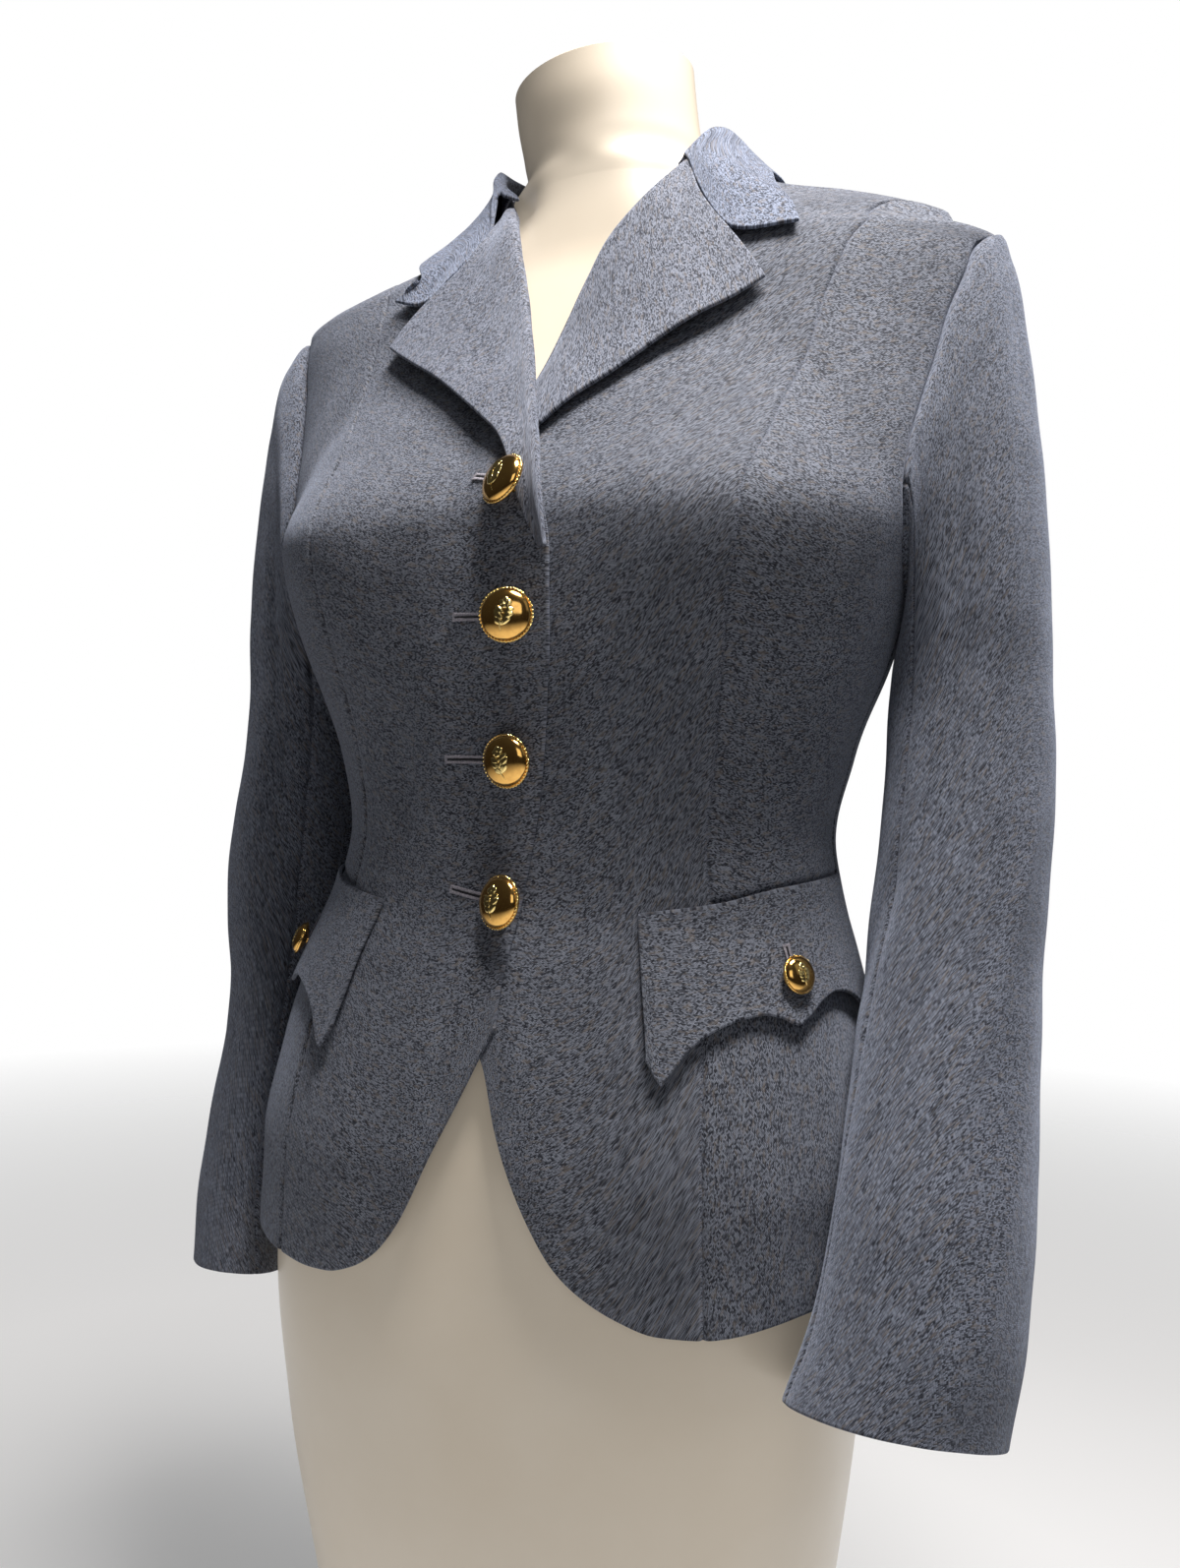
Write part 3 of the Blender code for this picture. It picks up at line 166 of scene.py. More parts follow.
# Lapels: the drop on the roll line beside the reach and drop of the outer edge
Lapel = namedtuple(
    "Lapel",
    "right_roll right_reach right_drop left_roll left_reach left_drop stand_off right_bow left_bow",
)
LAPEL = [
    Lapel(0.0335, 0.099, -0.045, 0.0430, 0.102, -0.0365, 0.0030, 0.0080, 0.0036),
    Lapel(0.0150, 0.090, -0.052, 0.0200, 0.0915, -0.0455, 0.0042, 0.0036, 0.0016),
    Lapel(-0.006, 0.074, -0.064, -0.004, 0.074, -0.058, 0.0060, 0.0006, 0.0004),
    Lapel(-0.028, 0.055, -0.078, -0.028, 0.055, -0.073, 0.0070, 0.0, 0.0),
    Lapel(-0.052, 0.035, -0.095, -0.052, 0.037, -0.087, 0.0068, 0.0, 0.0),
    Lapel(-0.075, 0.019, -0.109, -0.075, 0.020, -0.099, 0.0060, 0.0, 0.0),
    Lapel(-0.100, 0.004, -0.125, -0.100, 0.006, -0.113, 0.0052, 0.0, 0.0),
    Lapel(-0.125, -0.006, -0.139, None, None, None, 0.0044, 0.0, 0.0),
    Lapel(-0.150, -0.0130, -0.154, None, None, None, 0.0034, 0.0, 0.0),
    Lapel(-0.172, -0.0205, -0.172, None, None, None, 0.0028, 0.0, 0.0),
]
RollPoint = namedtuple("RollPoint", "beyond out")
ROLL = [RollPoint(0.0012, 0.0012), RollPoint(0.0026, 0.0029), RollPoint(0.0013, 0.0048)]
ROLL_CROWN = 0.0056
LAPEL_LIE = 0.0006
TUCKED_FLATNESS = 0.55
TUCKED_ROWS = (5, 3)
LAPEL_STEPS = [0.10, 0.28, 0.46, 0.64, 0.82, 1.0]
NOTCH_SHARE = 0.72
Notch = namedtuple("Notch", "reach drop")
NOTCH = {"right": Notch(0.083, -0.0205), "left": Notch(0.0835, -0.0052)}

# Collar: a folded strip from the gorge round the back of the neck
NeckSection = namedtuple(
    "NeckSection",
    "angle base_drop fold_radius fold_rise left_angle left_drop right_angle right_drop",
)
COLLAR = [
    NeckSection(50, 0.0470, 0.0688, 0.0498, 65.5, -0.0050, 61.0, -0.0140),
    NeckSection(57, 0.0531, 0.0690, 0.0600, 67.2, 0.0070, 57.5, -0.0060),
    NeckSection(65, 0.0528, 0.0684, 0.0690, 67.5, 0.0185, 65.0, 0.0095),
    NeckSection(74, 0.0528, 0.0676, 0.0744, 73.5, 0.0345, 76.0, 0.0240),
    NeckSection(83, 0.0528, 0.0670, 0.0778, 82.5, 0.0445, 83.5, 0.0360),
    NeckSection(92, 0.0528, 0.0665, 0.0805, 92.0, 0.0460, 92.0, 0.0445),
    NeckSection(110, 0.0530, 0.0670, 0.0840, 108.0, 0.0430, 108.0, 0.0434),
    NeckSection(130, 0.0532, 0.0690, 0.0870, 130.0, 0.0410, 130.0, 0.0410),
    NeckSection(155, 0.0534, 0.0710, 0.0895, 155.0, 0.0400, 155.0, 0.0400),
    NeckSection(180, 0.0534, 0.0720, 0.0900, 180.0, 0.0398, 180.0, 0.0398),
]
NECK_CENTRE_Y = 0.005
FOLD_HALF_WIDTH = 0.0025
FOLD_STAND_SHARE = 0.35
FOLD_LEAST = 0.0006
FALL_STEPS = [0.25, 0.5, 0.75, 1.0]
COLLAR_OUT = 0.0049
COLLAR_BEND_OUT = 0.0075
RIGHT_BEND_BELOW = 0.006
RIGHT_BEND_IN = 0.0045
RIGHT_BEND_TURN = (112.0, 84.0)
GORGE_ABOVE_LAPEL = 0.0034
GORGE_RISE = 0.0015

# Sleeves: level rings down the arm, one table for each arm as it hangs
Ring = namedtuple("Ring", "drop centre_x centre_y half_width half_depth turn power slope_x slope_y")
SLEEVE_LEFT = [
    Ring(-0.541, 0.1755, -0.095, 0.0365, 0.0510, -34, 2.3, -0.08, -0.34),
    Ring(-0.500, 0.1840, -0.085, 0.0360, 0.0500, -34, 2.2, -0.05, -0.12),
    Ring(-0.450, 0.1875, -0.070, 0.0355, 0.0490, -32, 2.1, 0.0, 0.0),
    Ring(-0.400, 0.1885, -0.046, 0.0370, 0.0490, -26, 2.0, 0.0, 0.0),
    Ring(-0.350, 0.1895, -0.024, 0.0380, 0.0500, -18, 2.0, 0.0, 0.0),
    Ring(-0.300, 0.1920, -0.009, 0.0390, 0.0500, -12, 2.0, 0.0, 0.0),
    Ring(-0.250, 0.1930, 0.000, 0.0385, 0.0490, -10, 2.0, 0.0, 0.0),
    Ring(-0.200, 0.1925, 0.004, 0.0360, 0.0465, -8, 2.0, 0.0, 0.0),
]
SLEEVE_RIGHT = [
    Ring(-0.547, 0.1950, -0.052, 0.0255, 0.0500, -32, 2.3, 0.0, -0.24),
    Ring(-0.500, 0.2008, -0.044, 0.0242, 0.0505, -32, 2.2, 0.0, -0.14),
    Ring(-0.450, 0.2006, -0.034, 0.0240, 0.0505, -30, 2.1, 0.0, 0.0),
    Ring(-0.400, 0.1975, -0.022, 0.0262, 0.0500, -26, 2.0, 0.0, 0.0),
    Ring(-0.350, 0.1955, -0.012, 0.0360, 0.0490, -18, 2.0, 0.0, 0.0),
    Ring(-0.300, 0.1945, -0.004, 0.0405, 0.0500, -12, 2.0, 0.0, 0.0),
    Ring(-0.250, 0.1945, 0.003, 0.0400, 0.0490, -10, 2.0, 0.0, 0.0),
    Ring(-0.200, 0.1945, 0.006, 0.0375, 0.0465, -8, 2.0, 0.0, 0.0),
]
CAP_FULLNESS = {"right": 0.016, "left": 0.005}
ARM_TOP = -0.228
CAP_STEPS = [0.22, 0.42, 0.62, 0.81]
CAP_LEAN = 0.035
CAP_FOLLOW = 0.45
CAP_TUCK = 0.0018
CAP_START = 0.0012
ARM_RINGS = 11
FRONT_SEAM_INDEX = 7

# Pocket flaps, set in the waist seam
FlapEdge = namedtuple("FlapEdge", "angle drop")
FLAP = [
    FlapEdge(34.5, -0.396), FlapEdge(36.5, -0.4055), FlapEdge(38.5, -0.400), FlapEdge(41.5, -0.391),
    FlapEdge(46, -0.3835), FlapEdge(51, -0.379), FlapEdge(55, -0.3775), FlapEdge(58, -0.379),
    FlapEdge(61, -0.3825), FlapEdge(64, -0.379), FlapEdge(68, -0.373), FlapEdge(72.5, -0.370),
    FlapEdge(77, -0.372), FlapEdge(81.5, -0.378), FlapEdge(85.5, -0.388), FlapEdge(87.5, -0.393),
    FlapEdge(89.5, -0.385),
]
FLAP_TOP_GAP = 0.001
FLAP_SEAM_OUT = 0.0024
FLAP_FLARE = 0.0022

# Buttons
Button = namedtuple("Button", "name x drop radius tilt")
FRONT_BUTTONS = [
    Button("button_front_1", 0.0080, -0.1475, 0.0125, -33),
    Button("button_front_2", 0.006, -0.203, 0.0125, 15),
    Button("button_front_3", 0.0045, -0.267, 0.0125, -8),
    Button("button_front_4", 0.005, -0.333, 0.0125, -23),
]
FLAP_BUTTON_ANGLE = 62.5
FLAP_BUTTON_DROP = -0.3625
FLAP_BUTTON_RADIUS = 0.0088
SHANK_RADIUS = 0.0022
SHANK_LENGTH = 0.0026
SHANK_TILT_REACH = 0.9
SHANK_FOOT_TILT = 0.85
DOME_HEIGHT = 0.40
DOME_SPREAD = 0.93
Turn = namedtuple("Turn", "share height")
RIM_LIFT = 0.0012
SHANK_TOP = -0.0022

# Dress form and stand
Clearance = namedtuple("Clearance", "drop inset")
FORM_INSET = [
    Clearance(-0.695, 0.010), Clearance(-0.300, 0.009), Clearance(-0.060, 0.009),
    Clearance(-0.003, 0.009), Clearance(0.010, 0.0075), Clearance(0.024, 0.0055),
    Clearance(0.038, 0.0044), Clearance(0.052, 0.0030),
]
FORM_LOW = -0.690
FORM_HIGH = 0.052
FORM_BOTTOM = -0.695
FORM_BOTTOM_INSET = 0.015
NeckRing = namedtuple("NeckRing", "rise radius centre_x centre_y tilt_x tilt_y")
NECK = [
    NeckRing(0.061, 0.0510, -0.001, 0.003, 0.00, 0.05),
    NeckRing(0.076, 0.0500, -0.003, 0.001, 0.04, 0.10),
    NeckRing(0.098, 0.0500, -0.006, -0.002, 0.08, 0.14),
    NeckRing(0.1165, 0.0500, -0.008, -0.003, 0.11, 0.16),
    NeckRing(0.1180, 0.0480, -0.008, -0.003, 0.11, 0.16),
]

# Cloth made finer than the solids: places near an edge, then widths, steps and limits of its pieces
EDGE_PLACES = [0.0006, 0.0013, 0.0022]
SEAM_WIDTH = 0.0011
RIM_STEPS = 3
FRONT_WIDTH = 0.15
SIDE_FRONT_WIDTH = 0.09
BACK_WIDTH = 0.19
FLAP_DEPTH = 0.055
FLAP_LINE_ANGLE = 1.0
FLAP_CURL = 0.0006
FLAP_CURL_FROM = (0.7, 1.0)
FLAP_STEP = 0.6
FOLD_STEP = 0.7
LEAST_SPAN = 0.15
WAIST_LIFT_START = -0.20
SLEEVE_OVERLAP = 3
SLEEVE_HIDDEN = (0.6, 3.0)
CLOTH_SKIN = 0.00035
LAPEL_SINK = 0.0034
LAPEL_SINK_ROWS = (3, 1)
FORM_SIDES = 128
FORM_STEP = 0.008
FORM_NECK_RINGS = 40
FORM_SHARP = 40.0

# Turn of each piece's weave, in degrees
SIDE_WEAVE_TURN = 80.0
SLEEVE_WEAVE_TURN = 0.0
COLLAR_WEAVE_TURN = 35.0
LAPEL_WEAVE_TURN = {"right": 20.0, "left": -15.0}

# Slight unevenness: height in metres, waves per metre across and along
Ripple = namedtuple("Ripple", "height per_across per_along phase")
RIPPLES = [
    Ripple(0.00022, 9.0, 5.0, 0.4), Ripple(0.00018, 17.0, -8.0, 2.1),
    Ripple(0.00012, -6.0, 23.0, 4.0), Ripple(0.00008, 41.0, 12.0, 1.3),
]
RIPPLE_PER_DEGREE = 0.0022
SLEEVE_RIPPLE_PER_DEGREE = 0.0008
SLEEVE_RIPPLE_FROM = (-0.02, -0.10)
LAPEL_RIPPLE = 0.6
COLLAR_RIPPLE = 0.5

# Creases: the body's in degrees and millimetres of drop, the sleeves' in degrees round the
# arm and millimetres of drop, the lapels' in metres along the cloth
Crease = namedtuple("Crease", "from_x from_y to_x to_y width height bow")
CREASES = {
    "left": [
        Crease(20, -195, 27, -330, 6.0, 0.0014, 2.0),
        Crease(33, -215, 37, -335, 5.0, -0.0010, -1.5),
        Crease(58, -60, 66, -150, 5.0, -0.0016, 2.0),
        Crease(72, -95, 60, -190, 6.0, 0.0012, -2.0),
        Crease(20, -360, 24, -470, 6.0, -0.0012, 1.0),
        Crease(33, -370, 32, -490, 5.0, 0.0012, -1.0),
        Crease(62, -400, 60, -490, 6.0, -0.0012, 1.5),
        Crease(150, -230, 140, -320, 7.0, -0.0016, 3.0),
        Crease(120, -250, 128, -330, 6.0, 0.0012, -2.0),
    ],
    "right": [
        Crease(18, -200, 24, -330, 6.0, 0.0012, 2.0),
        Crease(30, -230, 34, -340, 5.0, -0.0012, -1.5),
        Crease(10, -230, 14, -300, 4.0, -0.0008, 1.0),
        Crease(60, -60, 68, -150, 5.0, -0.0016, 2.0),
        Crease(26, -380, 30, -480, 6.0, 0.0014, 1.0),
        Crease(62, -400, 60, -490, 6.0, -0.0012, 1.5),
        Crease(148, -235, 138, -325, 7.0, -0.0016, 3.0),
        Crease(118, -255, 126, -335, 6.0, 0.0012, -2.0),
    ],
}
SLEEVE_CREASES = {
    "left": [
        Crease(40, -80, 55, -240, 9.0, 0.0016, 4.0),
        Crease(70, -120, 80, -300, 9.0, -0.0018, -4.0),
        Crease(20, -260, 45, -420, 9.0, 0.0016, 5.0),
        Crease(65, -330, 90, -460, 9.0, -0.0018, -4.0),
        Crease(110, -300, 150, -380, 12.0, -0.0022, 5.0),
        Crease(-40, -120, -30, -300, 12.0, -0.0018, 4.0),
        Crease(-80, -200, -100, -330, 12.0, 0.0018, 4.0),
        Crease(10, -20, 20, -100, 8.0, -0.0012, 2.0),
        Crease(-10, -420, 10, -520, 9.0, 0.0012, -2.0),
    ],
    "right": [
        Crease(40, -90, 52, -250, 9.0, 0.0016, 4.0),
        Crease(75, -130, 85, -310, 9.0, -0.0018, -4.0),
        Crease(25, -280, 45, -430, 9.0, 0.0016, 5.0),
        Crease(110, -310, 150, -380, 12.0, -0.0022, 5.0),
        Crease(-40, -130, -30, -310, 12.0, -0.0018, 4.0),
        Crease(-85, -210, -100, -340, 12.0, 0.0018, 4.0),
    ],
}
LAPEL_CREASES = [Crease(0.015, 0.02, 0.03, 0.08, 0.010, 0.0006, 0.0)]
CREASE_WIDTHS = (0.75, 1.25)
CREASE_FADE_IN = (-0.12, 0.30)
CREASE_FADE_OUT = (1.12, 0.70)

# Worked buttonholes: place across the front and drop of both ends
Hole = namedtuple("Hole", "name from_x from_drop to_x to_drop")
HOLES = [
    Hole("buttonhole_1", -0.0155, -0.1390, 0.0060, -0.1455),
    Hole("buttonhole_2", -0.0225, -0.2020, 0.0040, -0.2030),
    Hole("buttonhole_3", -0.0295, -0.2665, 0.0020, -0.2670),
    Hole("buttonhole_4", -0.0270, -0.3275, 0.0030, -0.3330),
]
FLAP_HOLE_TOP = -0.3495
FLAP_HOLE_BOTTOM = -0.3620
HOLE_ROW_OFFSET = 0.00125
STITCH_WIDTH = 0.00052
STITCH_HEIGHT = 0.00042
STITCH_LIFT = 0.00012
STITCH_PACK = 0.92
STITCH_SLANT = 0.12
HOLE_ROW_WIDTH = 0.0017
HOLE_STATIONS = 9
BAR_HALF = 0.0019
BAR_BACK = 0.0002
# The slit is a sheet of painted shadow: its half width, steps and lifts off the cloth
SLIT_HALF = 0.00045
SLIT_STEPS = 13
SLIT_LIFTS = (0.0003, -0.0004)

# Button looks: lengths of the leaves and the rope are shares of the button's radius
MOST_TILT = -21.0
BUTTON_SPINS = [6.0, -10.0, 14.0, 4.0]
FLAP_BUTTON_SPIN = 8.0
BUTTON_SHARP = 50.0
RIM_PROFILE = [
    Turn(0.945, 0.00125), Turn(0.965, 0.00135), Turn(0.985, 0.0012), Turn(1.0, 0.0006),
    Turn(0.985, 0.0001), Turn(0.95, 0.0), Turn(0.75, -0.0009), Turn(0.55, -0.0016),
]
DOME_RINGS = 16
DOME_SIDES = 72
ROPE_TURNS = 44
ROPE_REACH = 0.955
ROPE_LIFT = 0.0011
ROPE_LEAN = 1.6
ROPE_TWIST = 0.55
ROPE_STRAND = (0.20, 0.062, 0.062)
Leaf = namedtuple("Leaf", "x y turn length width")
LEAVES = [
    Leaf(0.00, -0.42, 52, 0.44, 0.15), Leaf(0.00, -0.42, 128, 0.44, 0.15),
    Leaf(0.00, -0.20, 40, 0.46, 0.15), Leaf(0.00, -0.20, 140, 0.46, 0.15),
    Leaf(0.00, 0.02, 30, 0.40, 0.13), Leaf(0.00, 0.02, 150, 0.40, 0.13),
    Leaf(0.00, 0.36, 90, 0.24, 0.13), Leaf(0.00, 0.36, 18, 0.24, 0.13),
    Leaf(0.00, 0.36, 162, 0.24, 0.13), Leaf(0.00, 0.36, 234, 0.20, 0.12),
    Leaf(0.00, 0.36, 306, 0.20, 0.12), Leaf(0.00, -0.66, 90, 0.98, 0.035),
]
LEAF_RISE = 0.055
LEAF_STEPS = (10, 6)
LEAF_BEND = 0.10
LEAF_REACH = 0.9
LEAF_VEIN_WIDTH = 0.16
LEAF_VEIN_DEPTH = 0.35
LEAF_BED = 0.008
LEAF_UNDERSIDE = -0.05

# Studio: the camera's place is measured from the shoulder's height
CAMERA_PLACE = (0.24568377, -0.60483897, -0.29239435)
CAMERA_RIGHT = (0.92168301, 0.38731326, 0.0221105)
CAMERA_UP = (-0.0095581, -0.03430541, 0.99936569)
CAMERA_LENS = 27.1

Lamp = namedtuple("Lamp", "name setting place target size colour")
LAMPS = [
    Lamp("key_overhead", "key_light", (0.30, -0.22, 1.75), (0.06, -0.10, 0.80), (0.45, 0.35),
         (1.0, 0.97, 0.95)),
    Lamp("fill_front", "fill_light", (0.8, -1.45, 1.20), (0.0, 0.0, 0.72), (0.8, 0.8),
         (0.96, 0.97, 1.0)),
    Lamp("side_left", "rim_light", (1.9, -0.3, 1.8), (0.1, 0.0, 0.75), (0.8, 1.2),
         (0.86, 0.92, 1.0)),
]
FLOOR_RADIUS = 2.6
FLOOR_FADE_START = 0.9
ROOM_LOW = (0.34, 0.26, 0.22, 1.0)
ROOM_HIGH = (0.95, 0.97, 1.0, 1.0)
ROOM_HEIGHTS = (-0.5, 0.8)
WHITE = (1.0, 1.0, 1.0, 1.0)
FLOOR_GREY = (0.60, 0.60, 0.60, 1.0)
FLOOR_GLOW = 0.30
FLOOR_SIDES = 96
SENSOR_WIDTH = 36.0
NEAR_CLIP = 0.01

# Finishes: the scales of the noises are per metre, and a tint multiplies the cloth's two colours; the
# collar's and lapels' lighter tints are painted light from the lamp above
Worsted = namedtuple("Worsted", "name tint twill_turn twill_share")
# The last share of each worsted darkens every float towards its edges: painted shade between the yarns
WORSTEDS = {
    "body": Worsted("Body worsted", (1.0, 1.0, 1.0), 0.0, 0.45),
    "collar": Worsted("Collar worsted", (1.10, 1.17, 1.30), 0.0, 0.26),
    "lapel": Worsted("Lapel worsted", (1.10, 1.10, 1.12), 0.0, 0.30),
    "sleeve": Worsted("Sleeve worsted", (1.0, 1.02, 1.06), 30.0, 0.40),
}
FLOAT_LENGTH = 2.0
FIBRE_SCALE = 1500.0
FIBRE_JITTER = 0.5
YARN_SHARE = 0.7
THREAD_BOUNDS = (0.24, 0.72)
FLECK_SCALE = 480.0
FLECK_STRETCH = (0.4, 1.0, 1.0)
FLECK_BOUNDS = (0.54, 0.68)
FLECK_SHARE = 0.55
SHADE_SCALE = 60.0
SHADE_BOUNDS = (0.3, 0.7)
SHADE_SHARE = 0.16
RIB_RELIEF = 0.7
CLOTH_BUMP = (0.00025, 0.5)
NAP = {"Sheen_Weight": 0.30, "Sheen_Roughness": 0.45, "Sheen_Tint": (0.72, 0.80, 1.0, 1.0)}
GILT_GROUND = (0.55, 0.26, 0.07, 1.0)
# Paler gold of the leaves and rope is a painted highlight; the darker dome between them is painted shade
GILT_RELIEF_PAINTED_HIGHLIGHT = (1.0, 0.76, 0.30, 1.0)
GILT_WEAR_SCALE = 420.0
ENAMEL_WORN = (0.90, 0.86, 0.80)
MOTTLE_SCALE = 14.0
ORANGE_PEEL_SCALE = 900.0
# The dress form's glow is painted light that lifts the shade on it
FORM_PAINTED_GLOW = 0.16
STEEL_DARK = (0.42, 0.42, 0.43, 1.0)
STEEL_LIGHT = (0.62, 0.62, 0.62, 1.0)
BRUSH_SCALE = 90.0
BRUSH_STRETCH = (1.0, 1.0, 18.0)
TWIST_DARK = (0.15, 0.14, 0.17, 1.0)
TWIST_LIGHT = (0.36, 0.34, 0.38, 1.0)
PLY_SCALE = 1600.0
# Near-black of the buttonhole slit: painted shadow in the cut
SLIT_PAINTED_SHADOW = (0.006, 0.006, 0.009)

# Thread on points: the sides and rings of its bead, and the least and most of its size
BEAD_SIDES = 8
BEAD_RINGS = 5
UNEVEN = (0.88, 1.10)


def smooth(table, column, at):
    """Read a table's named column at any place along its first column, without overshoot."""
    xs = np.array([row[0] for row in table], dtype=float)
    ys = np.array([getattr(row, column) for row in table], dtype=float)
    step = np.diff(xs)
    secant = np.diff(ys) / step
    slope = np.empty_like(ys)
    slope[0] = secant[0]
    slope[-1] = secant[-1]
    for k in range(1, len(xs) - 1):
        before, after = secant[k - 1], secant[k]
        weight_before = 2 * step[k] + step[k - 1]
        weight_after = step[k] + 2 * step[k - 1]
        if before * after <= 0:
            slope[k] = 0.0
        else:
            slope[k] = (weight_before + weight_after) / (weight_before / before + weight_after / after)
    at = np.clip(np.asarray(at, dtype=float), xs[0], xs[-1])
    k = np.clip(np.searchsorted(xs, at, side="right") - 1, 0, len(xs) - 2)
    t = (at - xs[k]) / step[k]
    start = (1 + 2 * t) * (1 - t) ** 2 * ys[k] + t * (1 - t) ** 2 * step[k] * slope[k]
    end = t * t * (3 - 2 * t) * ys[k + 1] + t * t * (t - 1) * step[k] * slope[k + 1]
    return start + end


def ease(value, start, end):
    """Rise smoothly from 0 at start to 1 at end; start may be the larger."""
    t = np.clip((np.asarray(value, dtype=float) - start) / (end - start), 0.0, 1.0)
    return t * t * (3 - 2 * t)


def torso_radius(angle, drop):
    """Distance of the cloth's outer face from the body's axis; angle in degrees, signed."""
    cosine = np.cos(np.radians(angle))
    sine = np.sin(np.radians(angle))
    left, right = smooth(TORSO, "left_extra", drop), smooth(TORSO, "right_extra", drop)
    half_width = smooth(TORSO, "half_width", drop) + np.where(sine > 0, left, right)
    side_y = smooth(TORSO, "side_y", drop)
    power = smooth(TORSO, "squareness", drop)
    power = power + np.maximum(2.0 - power, 0.0) * ease(np.abs(sine), *SHOULDER_ROUNDING)
    front = smooth(TORSO, "front", drop) + side_y
    back = smooth(TORSO, "back", drop) - side_y
    depth = np.where(cosine > 0, front, back)
    radius = (np.abs(cosine) / depth) ** power + (np.abs(sine) / half_width) ** power
    radius = radius ** (-1 / power)
    turned = np.degrees(np.abs(np.arctan2(sine, cosine)))
    across = (turned - BUST_ANGLE) / BUST_ANGLE_SPREAD
    along = (np.asarray(drop) - BUST_DROP) / BUST_DROP_SPREAD
    return radius + BUST_FULLNESS * np.exp(-across ** 2 - along ** 2)


def torso_point(angle, drop):
    angle, drop = np.broadcast_arrays(np.asarray(angle, float), np.asarray(drop, float))
    radius = torso_radius(angle, drop)
    x = smooth(TORSO, "sway", drop) + radius * np.sin(np.radians(angle))
    y = smooth(TORSO, "side_y", drop) - radius * np.cos(np.radians(angle))
    return np.stack([x, y, drop + SHOULDER_HEIGHT], axis=-1)


def torso(angle, drop, out=0.0):
    """A point on the cloth's outer face, moved out along the face's normal."""
    angle, drop, out = np.broadcast_arrays(
        np.asarray(angle, float), np.asarray(drop, float), np.asarray(out, float)
    )
    around = torso_point(angle + NEAR_TURN, drop) - torso_point(angle - NEAR_TURN, drop)
    upward = torso_point(angle, drop + NEAR_RISE) - torso_point(angle, drop - NEAR_RISE)
    normal = np.cross(around, upward)
    normal /= np.linalg.norm(normal, axis=-1, keepdims=True)
    return torso_point(angle, drop) + normal * out[..., None]


def angle_at(x, drop):
    """The signed angle of the point on the front that lies x from the centre plane."""
    x, drop = np.broadcast_arrays(np.asarray(x, float), np.asarray(drop, float))
    offset = x - smooth(TORSO, "sway", drop)
    angle = np.zeros_like(offset)
    for _ in range(FIND_ROUNDS):
        ratio = np.clip(offset / torso_radius(angle, drop), -0.99, 0.99)
        angle = 0.5 * angle + 0.5 * np.degrees(np.arcsin(ratio))
    return angle


def grid_normals(grid):
    """Unit normals of a grid of points, from its own neighbours."""
    across = np.gradient(grid, axis=1)
    along = np.gradient(grid, axis=0)
    normal = np.cross(across, along)
    return normal / np.linalg.norm(normal, axis=-1, keepdims=True)


def own_side(side):
    return "left" if side > 0 else "right"


def lap_out(side, x, drop):
    """How far a front stands off the body: the right one laps over the left."""
    if side > 0:
        return np.zeros(np.broadcast(x, drop).shape)
    reach = -np.asarray(x, float)
    bulge = ease(drop, *BULGE_TOP) * ease(drop, *BULGE_FOOT) * ease(reach, *BULGE_REACH)
    return LAP_LIFT * ease(reach, *LAP_REACH) + LAP_BULGE * bulge


def front_line_angle(side, drop):
    """The front's own angle at its roll line and front edge."""
    reach = smooth(FRONT_LINE, own_side(side), drop)
    return side * angle_at(side * reach, drop)


def hem_drop(side, angle):
    return smooth(HEM, own_side(side), angle)


def waist_drop(angle):
    return smooth(WAIST, "drop", angle)


def princess_angle(side, drop):
    return float(smooth(PRINCESS, own_side(side), drop))


def armhole_angle(face, drop):
    return smooth(ARMHOLE, face, drop)


def front_side_angle(drop):
    """Outer edge of the front pieces: shoulder seam, armhole or side seam."""
    if drop >= ARMHOLE_ROWS[0]:
        return SHOULDER_SEAM
    if drop > ARMHOLE_ROWS[-1]:
        return float(armhole_angle("front", drop))
    share = float(ease(drop, ARMHOLE_ROWS[-1], SIDE_STRAIGHT_BELOW))
    return SHOULDER_SEAM + (SIDE_SEAM - SHOULDER_SEAM) * share


def back_side_angle(drop):
    if ARMHOLE_ROWS[0] > drop > ARMHOLE_ROWS[-1]:
        return float(armhole_angle("back", drop))
    return front_side_angle(drop)


def sleeve_ring(side, table, drop, around):
    """A point of a level ring; around is 0 outside, 90 in front and 180 beside the body."""
    ring = Ring(*(float(smooth(table, column, drop)) for column in Ring._fields))
    turn, roundness = math.radians(ring.turn), 2.0 / ring.power
    cosine, sine = math.cos(math.radians(around)), math.sin(math.radians(around))
    x = ring.half_width * math.copysign(abs(cosine) ** roundness, cosine)
    y = -ring.half_depth * math.copysign(abs(sine) ** roundness, sine)
    across = x * math.cos(turn) - y * math.sin(turn)
    forward = x * math.sin(turn) + y * math.cos(turn)
    height = drop + ring.slope_x * across + ring.slope_y * forward + SHOULDER_HEIGHT
    return np.array([side * (ring.centre_x + across), ring.centre_y + forward, height])


def armhole_stations():
    """The armhole's points as angle, drop and place round the sleeve, front first."""
    top, bottom = ARMHOLE_ROWS[0], ARMHOLE_ROWS[-1]
    front, back = [], []
    for row in ARMHOLE_ROWS:
        around = math.degrees(math.acos(1 - 2 * (top - row) / (top - bottom)))
        front.append((float(armhole_angle("front", row)), row, around))
        back.append((float(armhole_angle("back", row)), row, 360.0 - around))
    return front + back[-2:0:-1]


